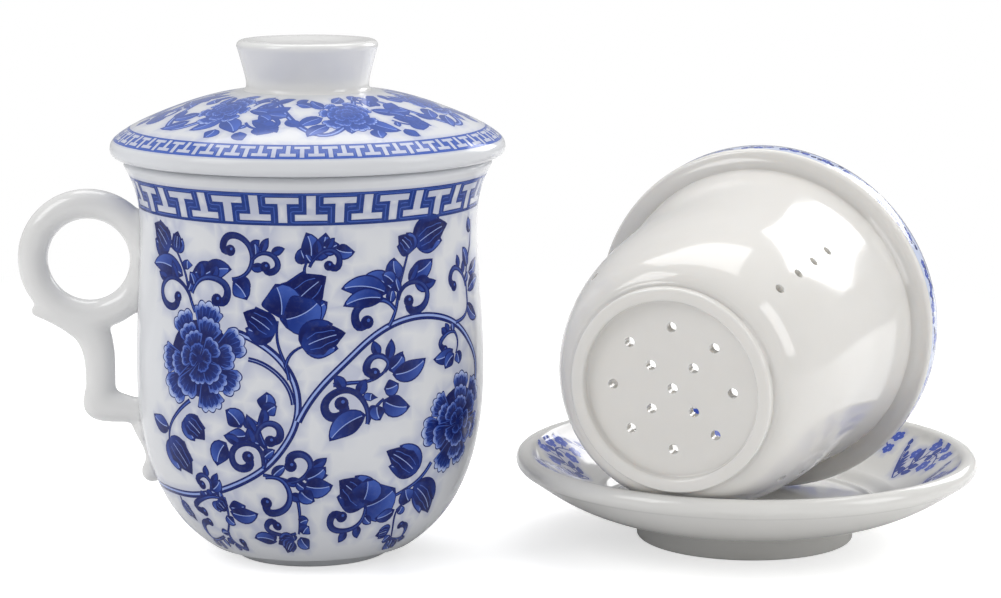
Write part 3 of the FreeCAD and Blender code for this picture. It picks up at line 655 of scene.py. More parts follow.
# %% The key border
def key_fret(ink, start, span, count, low, high, core):
    """A border of upright and hanging white T shapes set into each other, between two lines."""
    unit = span / count
    tall = high - low
    bar = tall * 0.185
    arm = unit * 0.285
    leg = unit * 0.078
    channel = 1.65
    gap = (unit * 0.5 - arm - leg) / channel
    rise = tall * 0.115
    top = high - tall * 0.15
    base = low + tall * 0.15

    def rule(y0, y1, tone):
        path = traced([(start, (y0 + y1) / 2), (start + span, (y0 + y1) / 2)], 1.5)
        stroke(ink, path, (y1 - y0) / 2, tone)

    rule(high - tall * 0.09, high, "border")
    rule(low, low + tall * 0.09, "border")
    for k in range(count * 2):
        x = start + unit * (k / 2 + 0.25)
        side = -1 if k % 2 else 1
        head = base if side == 1 else top
        tail = top + tall * 0.07 if side == 1 else base - tall * 0.07
        neck = head + side * bar

        def run(out):
            """The outline of the T, spread outwards by a share of the gap."""
            wide = leg + gap * out
            reach = arm + gap * out
            brow = neck + side * rise * out
            sole = head - side * rise * out * 0.6
            half = [(wide, tail), (wide, brow), (reach, brow), (reach, sole)]
            return [(x + a, b) for a, b in half] + [(x - a, b) for a, b in half[::-1]]

        ink.append((np.array(run(channel) + run(0)[::-1]), flat("border")))
        stroke(ink, traced(run(0.85)), core / 2, "soft")
    rule(high - tall * 0.06, high - tall * 0.03, "soft")


# %% [markdown]
# Now the flat sheet. A sheet's X is the distance round the form and its Y the distance along the outline.
# Only the edges of the shapes go into a Delaunay triangulation, which makes every edge of the drawing an
# edge of the mesh. Points spread over the bare glaze, a little off a regular grid, keep the triangles
# even.

# %% Cutting the sheet
ROUND = 200
LOOSE = 0.28
MARGIN = 0.3


def inside(points, shape):
    """Which points lie in a closed shape, by the even-odd rule."""
    x, y = points[:, 0], points[:, 1]
    found = np.zeros(len(points), bool)
    for (x0, y0), (x1, y1) in zip(shape, np.roll(shape, -1, axis=0)):
        if y0 != y1:
            found ^= ((y0 > y) != (y1 > y)) & (x < (x1 - x0) * (y - y0) / (y1 - y0) + x0)
    return found


def cut_sheet(shapes, holes, x_range, y_range, spacing, seed):
    """A band of the sheet in triangles, cut along every shape, with the holes left out."""
    x0, x1 = x_range
    y0, y1 = y_range
    points = []
    edges = []

    def ring(poly):
        first = len(points)
        points.extend(map(tuple, poly))
        n = len(poly)
        edges.extend((first + i, first + (i + 1) % n) for i in range(n))

    xs = np.linspace(x0, x1, ROUND + 1)
    ys = np.linspace(y0, y1, max(2, int((y1 - y0) / spacing)) + 1)
    ring([(x, y0) for x in xs] + [(x1, y) for y in ys[1:-1]]
         + [(x, y1) for x in xs[::-1]] + [(x0, y) for y in ys[-2:0:-1]])
    for poly in shapes:
        ring(np.clip(poly, (x0 + 0.01, y0 + 0.01), (x1 - 0.01, y1 - 0.01)))
    for poly in holes:
        ring(poly)
    columns = int((x1 - x0) / spacing)
    gx, gy = np.meshgrid((np.arange(columns) + 0.5) / columns * (x1 - x0) + x0, (ys[:-1] + ys[1:]) / 2)
    loose = np.column_stack([gx.ravel(), gy.ravel()])
    loose += np.random.default_rng(seed).uniform(-LOOSE, LOOSE, loose.shape) * spacing
    within = (loose > (x0 + MARGIN, y0 + MARGIN)) & (loose < (x1 - MARGIN, y1 - MARGIN))
    points.extend(map(tuple, loose[within.all(axis=1)]))
    out = delaunay_2d_cdt([Vector(p) for p in points], edges, [], 0, 1e-5, False)
    verts = np.array([tuple(v) for v in out[0]])
    faces = np.array([f for f in out[2] if len(f) == 3], int)
    middle = verts[faces].mean(axis=1)
    keep = ((middle > (x0, y0)) & (middle < (x1, y1))).all(axis=1)
    for poly in holes:
        keep &= ~inside(middle, poly)
    faces = faces[keep]
    a, b, c = (verts[faces[:, k]] for k in range(3))
    area = (b[:, 0] - a[:, 0]) * (c[:, 1] - a[:, 1]) - (b[:, 1] - a[:, 1]) * (c[:, 0] - a[:, 0])
    faces[area < 0] = faces[area < 0][:, ::-1]
    return verts, faces[np.abs(area) > 1e-9]


# %% [markdown]
# Each triangle takes its tone from the uppermost shape that holds its middle. Cobalt bleeds a little into
# the glaze in the firing, so bare glaze next to ink gets a faint blue that fades within a millimetre. The
# tone and its strength are stored at the corners of the faces, because a corner of ink and a corner of
# glaze share one point.

# %% Inking the sheet
BLEED = 0.55


def uppermost(middle, shapes):
    """The number of the uppermost shape over each point, or -1 for bare glaze."""
    top = np.full(len(middle), -1)
    order = np.argsort(middle[:, 0])
    sorted_x = middle[order, 0]
    for number, poly in enumerate(shapes):
        low, high = np.searchsorted(sorted_x, (poly[:, 0].min(), poly[:, 0].max()))
        near = order[low:high]
        near = near[(middle[near, 1] >= poly[:, 1].min()) & (middle[near, 1] <= poly[:, 1].max())]
        if len(near):
            top[near[inside(middle[near], poly)]] = number
    return top


def glow_near(verts, faces, top, strength):
    """The strength of the bleed at each point of the bare glaze."""
    inked = np.unique(faces[top >= 0])
    tree = KDTree(len(inked))
    for i, v in enumerate(inked):
        tree.insert((*verts[v], 0), i)
    tree.balance()
    far = np.zeros(len(verts))
    for v in np.unique(faces[top < 0]):
        far[v] = tree.find((*verts[v], 0))[2]
    return strength * np.exp(-far / BLEED)


def printed(drawing, x_range, y_range, place, spacing, seed=3, bleed=0.30, holes=()):
    """Triangles of a printed band, cut along its shapes, with an ink colour at each corner.

    place turns drawing points into sheet points. Returns points, faces, and colours by corner.
    """
    place = place or (lambda p: p)
    shapes = [place(np.asarray(poly, float)) for poly, _ in drawing]
    verts, faces = cut_sheet(shapes, holes, x_range, y_range, spacing, seed)
    top = uppermost(verts[faces].mean(axis=1), shapes)
    colours = np.zeros((len(faces), 3, 4))
    for number, (_, (kind, tone, spec)) in enumerate(drawing):
        mine = np.nonzero(top == number)[0]
        if kind == "flat":
            colours[mine, :, :3] = tone
        elif len(mine):
            centre, start, end = spec
            centre = place(np.array([centre], float))[0]
            far = np.linalg.norm(verts[faces[mine]] - centre, axis=2)
            share = np.clip((far - start) / (end - start), 0, 1)[..., None]
            share = share * share * (3 - 2 * share)
            colours[mine, :, :3] = np.array(tone[0]) * (1 - share) + np.array(tone[1]) * share
        colours[mine, :, 3] = 1
    bare = np.nonzero(top < 0)[0]
    if len(bare) and len(bare) < len(faces):
        colours[bare, :, :3] = INK["soft"]
        colours[bare, :, 3] = glow_near(verts, faces, top, bleed)[faces[bare]]
    return verts, faces, colours


def ink_mixed_towards(made, share, towards):
    """A printed band with its ink mixed towards another tone."""
    verts, faces, colours = made
    colours = colours.copy()
    colours[..., :3] = colours[..., :3] * (1 - share) + np.array(towards) * share
    return verts, faces, colours


def plain(rows, x_range):
    """A plain grid of the sheet between the given distances along the outline."""
    gx, gy = np.meshgrid(np.linspace(*x_range, ROUND + 1), rows)
    n = ROUND + 1
    faces = [(a, a + 1, a + n + 1, a + n) for j in range(len(rows) - 1) for a in range(j * n, j * n + ROUND)]
    return np.column_stack([gx.ravel(), gy.ravel()]), faces


# %% [markdown]
# Laying the sheet round the form is a rule, so Geometry Nodes do it: the tree reads each point's distance
# round and along, finds that place on the outline's curve, and turns it about the axis. A Screw modifier
# would turn the outline too, but it would know nothing of the print. Points that land on one another, at
# the seam and at the poles, are merged.

# %% Wrapping tree
def node(tree, kind, values=(), **settings):
    """Adds a node to a tree, with its settings and the values of its inputs."""
    made = tree.nodes.new(kind)
    for name, value in settings.items():
        setattr(made, name, value)
    for socket, value in dict(values).items():
        made.inputs[socket].default_value = value
    return made


def wrap_tree():
    tree = bpy.data.node_groups.new("lay sheet round outline", "GeometryNodeTree")
    for name, kind in (("Sheet", "Geometry"), ("Outline", "Object"), ("Distance round", "Float"),
                       ("Merge distance", "Float"), ("Glaze", "Material")):
        tree.interface.new_socket(name, in_out="INPUT", socket_type="NodeSocket" + kind)
    tree.interface.new_socket("Form", in_out="OUTPUT", socket_type="NodeSocketGeometry")
    given = node(tree, "NodeGroupInput")
    result = node(tree, "NodeGroupOutput")
    position = node(tree, "GeometryNodeInputPosition")
    split = node(tree, "ShaderNodeSeparateXYZ")
    turn = node(tree, "ShaderNodeMath", operation="DIVIDE")
    angle = node(tree, "ShaderNodeMath", {1: FULL_TURN}, operation="MULTIPLY")
    info = node(tree, "GeometryNodeObjectInfo")
    sample = node(tree, "GeometryNodeSampleCurve", mode="LENGTH", use_all_curves=True)
    rotate = node(tree, "ShaderNodeVectorRotate", rotation_type="Z_AXIS")
    place = node(tree, "GeometryNodeSetPosition")
    merge = node(tree, "GeometryNodeMergeByDistance")
    real = node(tree, "GeometryNodeRealizeInstances")
    paint = node(tree, "GeometryNodeSetMaterial")
    for source, output, target, socket in (
        (position, 0, split, 0), (split, "X", turn, 0), (given, "Distance round", turn, 1),
        (turn, 0, angle, 0), (given, "Outline", info, "Object"), (info, "Geometry", sample, "Curves"),
        (split, "Y", sample, "Length"), (sample, "Position", rotate, "Vector"), (angle, 0, rotate, "Angle"),
        (given, "Sheet", place, "Geometry"), (rotate, 0, place, "Position"), (place, 0, merge, "Geometry"),
        (given, "Merge distance", merge, "Distance"), (merge, 0, real, 0), (real, 0, paint, "Geometry"),
        (given, "Glaze", paint, "Material"), (paint, 0, result, 0),
    ):
        tree.links.new(source.outputs[output], target.inputs[socket])
    return tree


WRAP = wrap_tree()
print("wrapping tree:", len(WRAP.nodes), "nodes")

# %% [markdown]
# The modifier is run once and its result kept as a plain mesh. The outline becomes a curve in front of
# the axis, so that a turn about Z carries it round, and it is removed again when the piece is made.

# %% Running the tree
def run_nodes(obj, tree, values):
    """Runs a tree on an object and leaves the result as its plain mesh. Identifiers name the inputs."""
    modifier = obj.modifiers.new("make", "NODES")
    modifier.node_group = tree
    for item in tree.interface.items_tree:
        if item.in_out == "INPUT" and item.name in values:
            modifier[item.identifier] = values[item.name]
    graph = bpy.context.evaluated_depsgraph_get()
    made = bpy.data.meshes.new_from_object(obj.evaluated_get(graph), depsgraph=graph)
    obj.modifiers.remove(modifier)
    obj.data = made


def placed(name, data):
    """A new object with the given data, in the scene."""
    obj = bpy.data.objects.new(name, data)
    scene.collection.objects.link(obj)
    return obj


def outline_curve(name, profile):
    data = bpy.data.curves.new(name, "CURVE")
    data.dimensions = "3D"
    spline = data.splines.new("POLY")
    spline.points.add(len(profile) - 1)
    for point, (r, z) in zip(spline.points, profile):
        point.co = (0, -r * MM, z * MM, 1)
    return placed(name, data)


# %% [markdown]
# Glaze shows every flaw in a surface, because it mirrors the lamps. Thin triangles would show as streaks,
# so the form gets the exact normals of its outline. The walls of drilled holes keep their own, with sharp
# rims.

# %% Normals of a turned form
def read(collection, name, width=1, kind=float):
    """One property of every item in a collection, as an array."""
    values = np.zeros(len(collection) * width, kind)
    collection.foreach_get(name, values)
    return values.reshape(-1, width) if width > 1 else values


def set_normals(mesh, profile, along):
    """Gives a turned form the exact normals of its outline, so its gloss doesn't show the triangles."""
    step = np.diff(np.array(profile), axis=0)
    span = np.linalg.norm(step, axis=1)
    way = step / span[:, None]
    weight = 1 / span
    both = way[:-1] * weight[:-1, None] + way[1:] * weight[1:, None]
    ways = np.vstack([way[:1], both, way[-1:]])
    ways /= np.linalg.norm(ways, axis=1)[:, None]
    co = read(mesh.vertices, "co", 3)
    reach = read(mesh.attributes["along"].data, "value")
    reach /= MM
    dr = np.interp(reach, along, ways[:, 0])
    dz = np.interp(reach, along, ways[:, 1])
    far = np.hypot(co[:, 0], co[:, 1])
    radial = co[:, :2] / np.where(far > 1e-6, far, 1)[:, None]
    normal = np.column_stack([radial * dz[:, None], -dr])
    pole = far < 2e-5
    normal[pole] = np.column_stack([np.zeros((pole.sum(), 2)), np.sign(-dr[pole])])
    normal /= np.linalg.norm(normal, axis=1)[:, None]
    mesh.shade_smooth()
    each = normal[read(mesh.loops, "vertex_index", kind=int)]
    bored = read(mesh.attributes["bored"].data, "value", kind=np.int32)
    if bored.any():
        edges = read(mesh.loops, "edge_index", kind=int)
        rims = np.zeros(len(mesh.edges), bool)
        for k in np.nonzero(bored)[0]:
            face = mesh.polygons[int(k)]
            corners = slice(face.loop_start, face.loop_start + face.loop_total)
            each[corners] = face.normal
            rims[edges[corners]] = True
        sharp = mesh.attributes.get("sharp_edge") or mesh.attributes.new("sharp_edge", "BOOLEAN", "EDGE")
        sharp.data.foreach_set("value", rims)
    mesh.normals_split_custom_set(each.tolist())


# %% [markdown]
# One function now makes a turned piece: printed bands of its sheet, plain rows for the rest, loose tubes
# for holes, and then the wrap. The sheet's own two distances are kept as a UV map.

# %% A turned piece
WELD = 4e-6


def turned(name, profile, glaze, girth, bands=(), placement=None, start=0.0, tubes=()):
    """One turned piece. bands are (first length, last length, points, faces, colours)."""
    along = lengths(profile)
    total = along[-1]
    x_range = (start, start + girth)
    parts = []
    done = 0.0
    for s0, s1, *made in (*bands, (total, total)):
        if s0 - done > 1e-6:
            rows = [done] + [a for a in along if done + 0.02 < a < s0 - 0.02] + [s0]
            parts.append((*plain(rows, x_range), None))
        if made:
            parts.append(made)
        done = s1
    wall = sum(len(faces) for _, faces, _ in parts)
    parts += [(verts, faces, None) for verts, faces in tubes]
    points = []
    polygons = []
    inks = []
    for verts, faces, colours in parts:
        first = len(points)
        points.extend((x * MM, y * MM, 0) for x, y in verts)
        polygons.extend([tuple(int(i) + first for i in f) for f in faces])
        inks.append(np.zeros((sum(len(f) for f in faces), 4)) if colours is None else colours.reshape(-1, 4))
    mesh = bpy.data.meshes.new(name)
    mesh.from_pydata(points, [], polygons)
    ink = mesh.color_attributes.new("Print", "FLOAT_COLOR", "CORNER")
    ink.data.foreach_set("color", np.vstack(inks).astype(np.float32).ravel())
    sheet = np.array(points)[:, :2]
    corners = sheet[read(mesh.loops, "vertex_index", kind=int)] / MM
    chart = (corners - (start, 0)) / (girth, total)
    mesh.uv_layers.new(name="OFBake").data.foreach_set("uv", chart.astype(np.float32).ravel())
    bored = mesh.attributes.new("bored", "INT", "FACE")
    bored.data.foreach_set("value", (np.arange(len(polygons)) >= wall).astype(np.int32))
    mesh.attributes.new("along", "FLOAT", "POINT").data.foreach_set("value", sheet[:, 1].astype(np.float32))
    obj = placed(name, mesh)
    curve = outline_curve(name + " outline", profile)
    run_nodes(obj, WRAP, {
        "Outline": curve, "Distance round": girth * MM, "Merge distance": WELD, "Glaze": glaze})
    bpy.data.objects.remove(curve)
    set_normals(obj.data, profile, along)
    if placement is not None:
        obj.data.transform(placement)
    print("%-14s %6d triangles" % (name, sum(len(p.vertices) - 2 for p in obj.data.polygons)))
    return obj


# %% [markdown]
# The glaze is clear and wet-looking over a faintly warm or cool body. The print sits under it, so colour
# comes from the drawn ink and the gloss stays even. Real glaze is never quite flat: it has a slow
# waviness and thin changes of tone where it ran thicker, and both are kept slight. Thin porcelain also
# lets some light in, which the infuser's glaze shows with a little subsurface scattering.

# %% Glazes
WAVE_HEIGHT = 0.00006
GRAIN = 0.05


def porcelain(name, body, thick, has_print=True, shine=0.5, depth=0.0):
    """Glazed porcelain. body and thick are its colours where the glaze is thin and thick."""
    material = bpy.data.materials.new(name)
    material.use_nodes = True
    tree = material.node_tree
    tree.nodes.clear()
    link = tree.links.new
    out = node(tree, "ShaderNodeOutputMaterial")
    shader = node(tree, "ShaderNodeBsdfPrincipled", {
        "Roughness": 0.11, "IOR": 1.5, "Specular IOR Level": shine, "Coat Weight": shine * 0.3,
        "Coat Roughness": 0.04})
    if depth:
        for socket, value in (("Weight", depth), ("Radius", (1.0, 0.92, 0.82)), ("Scale", 0.003)):
            shader.inputs["Subsurface " + socket].default_value = value
    link(shader.outputs[0], out.inputs["Surface"])
    where = node(tree, "ShaderNodeTexCoord")

    def noise(scale, detail):
        made = node(tree, "ShaderNodeTexNoise", {"Scale": scale, "Detail": detail})
        link(where.outputs["Object"], made.inputs["Vector"])
        return made.outputs["Fac"]

    tone = node(tree, "ShaderNodeMix", {"A": (*body, 1), "B": (*thick, 1)}, data_type="RGBA")
    link(noise(38.0, 3.0), tone.inputs["Factor"])
    colour = tone.outputs["Result"]
    if has_print:
        ink = node(tree, "ShaderNodeAttribute", attribute_name="Print")
        spread = node(tree, "ShaderNodeMapRange", {"To Min": 1 - GRAIN, "To Max": 1 + GRAIN})
        link(noise(900.0, 4.0), spread.inputs["Value"])
        strength = node(tree, "ShaderNodeMath", operation="MULTIPLY", use_clamp=True)
        link(ink.outputs["Alpha"], strength.inputs[0])
        link(spread.outputs[0], strength.inputs[1])
        under = node(tree, "ShaderNodeMix", data_type="RGBA")
        link(strength.outputs[0], under.inputs["Factor"])
        link(colour, under.inputs["A"])
        link(ink.outputs["Color"], under.inputs["B"])
        colour = under.outputs["Result"]
    link(colour, shader.inputs["Base Color"])
    bump = node(tree, "ShaderNodeBump", {"Strength": 0.35, "Distance": WAVE_HEIGHT})
    link(noise(55.0, 1.0), bump.inputs["Height"])
    link(bump.outputs["Normal"], shader.inputs["Normal"])
    return material


# The wall and lid get a greyer, darker body than the knob and handle, though all are one porcelain: this is
# painted shade.
SHADED_PRINTED = porcelain("printed porcelain in painted shade", (0.67, 0.68, 0.70), (0.73, 0.745, 0.78), shine=0.18)
WHITE = porcelain("white porcelain", (0.74, 0.735, 0.725), (0.79, 0.79, 0.79), has_print=False)
CREAM = porcelain("infuser porcelain", (0.715, 0.70, 0.67), (0.78, 0.765, 0.74), depth=0.35)
SAUCER = porcelain("saucer porcelain", (0.70, 0.69, 0.665), (0.755, 0.75, 0.73), shine=0.4)
print("glazes:", ", ".join(m.name for m in (SHADED_PRINTED, WHITE, CREAM, SAUCER)))

# %% [markdown]
# Drawings are made in heights or radii, which are easy to measure, while the sheet wants distances along
# the outline. One rule turns the first into the second on a stretch of outline that only rises or only
# widens.

# %% From heights and radii to the sheet
RADIUS, HEIGHT = 0, 1


def reach_by(profile, column, first, last):
    """A rule that turns a radius or a height into distance along a stretch of the outline."""
    value = np.array(profile)[first:last, column]
    reach = lengths(profile)[first:last]
    if value[0] > value[-1]:
        value = value[::-1]
        reach = reach[::-1]
    return lambda wanted: np.interp(wanted, value, reach)


def laid(rule):
    """The same rule for drawing points, whose second number is the height or the radius."""
    return lambda points: np.column_stack([points[:, 0], rule(points[:, 1])])


def first_where(test):
    """The index of the first True."""
    return int(np.argmax(test))


# %% [markdown]
# The mug: foot ring, swelling side, drawn-in neck and flared lip in one outline. The wall carries the
# scroll and the key border below the lip; the lip, the foot and the inside are left white, because the
# transfer stops short of every edge that will be worn.

# %% Mug
MUG_GIRTH = FULL_TURN * 39.5
MUG_PRINT = (4.4, 89.6)
MUG_BORDER = (81.4, 88.8)
mug_points = np.array(mug_profile)
mug_foot = first_where(mug_points[:, 0] > 23.9)
mug_lip = first_where(mug_points[:, 1] == mug_points[:, 1].max())
mug_rule = reach_by(mug_profile, HEIGHT, mug_foot, mug_lip)
mug_start = -MUG_GIRTH / 4
mug_ink = []
scroll(mug_ink, 0.0)
scroll(mug_ink, MUG_GIRTH / 2)
key_fret(mug_ink, mug_start, MUG_GIRTH, 20, *MUG_BORDER, 0.24)
mug_span = tuple(float(mug_rule(height)) for height in MUG_PRINT)
mug_print = printed(mug_ink, (mug_start, mug_start + MUG_GIRTH), mug_span, laid(mug_rule), 2.7)
mug = turned("mug_wall", mug_profile, SHADED_PRINTED, MUG_GIRTH, [(*mug_span, *mug_print)], start=mug_start)
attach(mug, "mug")
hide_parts("mug_body")

# %% [markdown]
# The lid's print is a smaller key border near the edge and a ring of blooms on a waving stem, each with
# the same leaves and curls round it. The waving stem is a sine wave with one crest to a bloom.

# %% The lid's drawing
LID_GIRTH = FULL_TURN * 30.0
LID_BORDER = (40.4, 44.2)
LID_PRINT = (44.5, 15.4)
BLOOMS = 6
WAVE_MIDDLE = 27.8
WAVE_SWING = 9.2
LID_LEAVES = (
    (3.0, 31.0, 8.4, 36.6, 3.2), (2.0, 30.0, -1.5, 36.8, 2.8), (8.0, 25.0, 13.5, 20.5, 3.0),
    (7.0, 26.5, 15.0, 28.5, 2.6), (-4.5, 25.0, -8.0, 19.5, 2.8), (12.0, 22.5, 18.0, 18.5, 2.4),
    (10.0, 31.0, 16.5, 36.0, 2.8), (16.5, 33.5, 13.0, 37.2, 2.2), (-2.0, 21.5, 3.0, 17.4, 2.8),
    (5.5, 21.0, 9.5, 17.2, 2.4), (-6.0, 29.5, -11.0, 33.5, 2.8), (-5.0, 33.0, -9.5, 37.6, 2.4),
    (4.0, 35.5, 3.5, 39.0, 2.2), (9.5, 36.0, 11.0, 39.2, 2.0), (-8.0, 24.0, -13.0, 22.0, 2.6),
    (17.5, 30.5, 21.5, 33.0, 2.2), (19.0, 22.0, 22.5, 19.0, 2.2),
)
LID_CURLS = (
    (1.5, (9.0, 32.0), (12.5, 34.5), (16.0, 32.5), (14.5, 29.8), (12.8, 31.2)),
    (1.4, (6.5, 24.0), (9.0, 20.8), (12.2, 21.8), (11.4, 24.4), (9.9, 23.6)),
)
LID_TOP_LEAVES = ((11.5, 26.5, 17.5, 23.8, 2.8, True), (12.0, 27.5, 18.0, 28.4, 2.4, False),
                  (10.5, 28.5, 14.0, 31.2, 2.2, False))
lid_start = -LID_GIRTH / 2
lid_ink = []
key_fret(lid_ink, lid_start, LID_GIRTH, 44, *LID_BORDER, 0.10)
step = LID_GIRTH / BLOOMS
wave = []
for k in range(BLOOMS * 4 + 1):
    u = lid_start + step * (k / 4 - 0.1) + 0.1
    if lid_start + 0.2 < u < lid_start + LID_GIRTH - 0.2:
        wave.append((u, WAVE_MIDDLE + WAVE_SWING * math.sin(k * math.pi / 2)))
vine(lid_ink, 1.5, *wave)
for k in range(BLOOMS):
    u = lid_start + step * (k + 0.36)
    for root_u, root_r, tip_u, tip_r, wide in LID_LEAVES:
        leaf(lid_ink, wide, (u + root_u, root_r), (u + tip_u, tip_r), dark=root_u > 9)
    for wide, *points in LID_CURLS:
        curl(lid_ink, wide, *((u + du, r) for du, r in points))
    for root_u, root_r, tip_u, tip_r, wide, dark in LID_TOP_LEAVES:
        leaf(lid_ink, wide, (u + root_u, root_r), (u + tip_u, tip_r), dark=dark)
    peony(lid_ink, 7.2, (u, 27.4 + (1.0 if k % 2 else -1.0)), 0.7 * k)
print("shapes on the lid:", len(lid_ink))

# %% [markdown]
# The lid is a shallow dome with a rounded edge and a locating ring below. Its print is made paler than
# the wall's, because in the photograph it faces the light.

# %% Lid
lid_edge = first_where(np.array(lid_profile)[:, 0] > 44.99)
lid_rule = reach_by(lid_profile, RADIUS, lid_edge, len(lid_profile) - 2)
lid_span = tuple(float(lid_rule(radius)) for radius in LID_PRINT)
lid_print = printed(lid_ink, (lid_start, lid_start + LID_GIRTH), lid_span, laid(lid_rule), 1.5, 5)
# The lid's ink is mixed towards a pale blue as painted light, where the lid faces the lamps.
lid_print = ink_mixed_towards(lid_print, 0.34, (0.17, 0.28, 0.80))
lid = turned("lid_shell", lid_profile, SHADED_PRINTED, LID_GIRTH, [(*lid_span, *lid_print)], start=lid_start)
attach(lid, "lid")
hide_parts("lid_dome")

# %% [markdown]
# The knob flares to a dished top, so that wet fingers hold it. It is plain white and needs no printed
# band.

# %% Knob
knob = turned("knob", knob_profile, WHITE, FULL_TURN * 15)
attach(knob, "lid")
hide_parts("lid_knob")

# %% [markdown]
# The handle is rolled clay luted to the wall, so its ring, strut, spur and tail flow into one another. A
# Bevel would need clean edges where these forms cross. Instead a copy of the solid is remeshed in fine
# voxels and relaxed, which rounds the inner corners. Its ends are spread a little where they meet the
# wall, as slip does.

# %% Handle
VOXEL = 0.00042
RELAXED = 34
SPREAD_FROM = 1.6
SINK_FROM = 0.9
PUSH = 0.75


def soft_handle():
    mesh = nodes["mug_handle"].data.copy()
    mesh.materials.clear()
    obj = placed("handle", mesh)
    work = bmesh.new()
    work.from_mesh(mesh)
    bmesh.ops.remove_doubles(work, verts=work.verts, dist=1e-5)
    work.to_mesh(mesh)
    work.free()
    remesh = obj.modifiers.new("voxels", "REMESH")
    remesh.mode = "VOXEL"
    remesh.voxel_size = VOXEL
    relax = obj.modifiers.new("relax", "SMOOTH")
    relax.factor = 0.5
    relax.iterations = RELAXED
    graph = bpy.context.evaluated_depsgraph_get()
    made = bpy.data.meshes.new_from_object(obj.evaluated_get(graph), depsgraph=graph)
    obj.modifiers.clear()
    obj.data = made
    co = read(made.vertices, "co", 3) / MM
    out = read(made.vertices, "normal", 3)
    wall = np.array(mug_side)
    far = np.hypot(co[:, 0], co[:, 1])
    depth = far - np.interp(co[:, 2], wall[:, 1], wall[:, 0])
    radial = co[:, :2] / far[:, None]
    side = out.copy()
    side[:, :2] -= radial * np.sum(out[:, :2] * radial, axis=1)[:, None]
    co += side * (np.clip(1 - depth / SPREAD_FROM, 0, 1) ** 2 * PUSH)[:, None]
    co[:, :2] -= radial * (np.clip(1 - depth / SINK_FROM, 0, 1) * PUSH)[:, None]
    made.vertices.foreach_set("co", (co * MM).ravel())
    made.shade_smooth()
    made.materials.append(WHITE)
    return obj


handle = soft_handle()
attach(handle, "mug")
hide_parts("mug_handle")
print("handle", len(handle.data.polygons), "faces")

# %% [markdown]
# The saucer has a foot ring, a well with a low ridge that keeps the mug in the middle, and a raised lip.
# Its outline is closed as the mug's is.

# %% The saucer's outline
saucer_profile = joined(
    foot_ring(25.6, 3.6, 4.5, 5.3),
    [(26.8, 5.3)],
    smooth([(26.8, 5.3), (43.52, 10.4), (52.82, 16.4)], (1, 0.12), (1, 0.75)),
    arc((52.82, 16.4), (54.0, 17.37), (54.4, 18.6), 6),
    joined(
        arc((54.4, 18.6), (52.2, 20.8), (50.0, 18.95), 10),
        smooth([(50.0, 18.95), (42.3, 13.9), (36.4, 10.7)], (-1, -0.62), (-1, -0.3)),
        smooth([(36.4, 10.7), (33.8, 9.2), (32.1, 8.3)], (-1, -0.15), (-1, 0), 8),
        smooth([(32.1, 8.3), (30.6, 9.0), (29.1, 8.3)], (-1, 0), (-1, 0), 8),
        [(0, 8.3)],
    ),
)
print("saucer outline", len(saucer_profile), "points")

# %% [markdown]
# Flower sprays cover the slope between the well and the lip. Each is a curved twig with blossoms at its
# ends and thin grass beside it. The same spray goes round twelve times, with a little chance in its lean
# and its flowers, as a painter would repeat it.

# %% The saucer's sprays
SPRAYS = 12
FLOWER_TWIGS = (
    ((1.9, 0.42), (5.0, 0.66)), ((0.9, 0.63), (1.6, 0.94)), ((-2.2, 0.79), (-3.0, 0.97)),
    ((-2.6, 0.80), (-3.4, 0.52)), ((-5.0, 0.71), (-7.2, 0.58)), ((-4.6, 0.74), (-6.8, 0.88)),
)
SPRAY_LEAVES = (
    ((1.8, 0.25), (-1.4, 0.34)), ((1.7, 0.20), (4.4, 0.30)), ((1.9, 0.40), (-1.2, 0.50)),
    ((1.6, 0.52), (4.0, 0.84)), ((-0.8, 0.76), (-0.6, 0.97)), ((-1.2, 0.76), (-1.0, 0.60)),
)


def spray(ink, u, low, high, seed):
    """A curved twig with small flowers and leaves, and thin grass beside it, all from one root."""
    rng = np.random.default_rng(seed)
    tall = high - low
    lean = rng.uniform(0.85, 1.15)

    def at(x, share):
        return (u + x * lean, low + tall * share)

    stem(ink, 0.62, at(1.5, 0.06), at(2.0, 0.35), at(0.8, 0.64), at(-2.4, 0.80), at(-5.2, 0.70))
    for root, tip in FLOWER_TWIGS:
        stem(ink, 0.42, at(*root), at(*tip))
        blossom(ink, rng.uniform(1.35, 1.85), at(*tip), rng.uniform(0, 6))
    for root, tip in SPRAY_LEAVES:
        leaf(ink, 1.35, at(*root), at(*tip), dark=True)
    for k in range(4):
        tip = at(6.4 + 1.5 * k, 0.36 + 0.13 * k)
        joint = at(4.2 + 0.9 * k, 0.16 + 0.05 * k)
        stem(ink, 0.40, at(1.9, 0.05), joint, tip)
        leaf(ink, 0.85, tip, (tip[0] + 0.9, tip[1] + tall * 0.16), dark=True)
        leaf(ink, 0.75, joint, at(3.8 + 0.9 * k, 0.36 + 0.08 * k), dark=True)


# %% [markdown]
# The saucer stands beside the mug, with the infuser in it, so its mesh is moved there after it is turned.

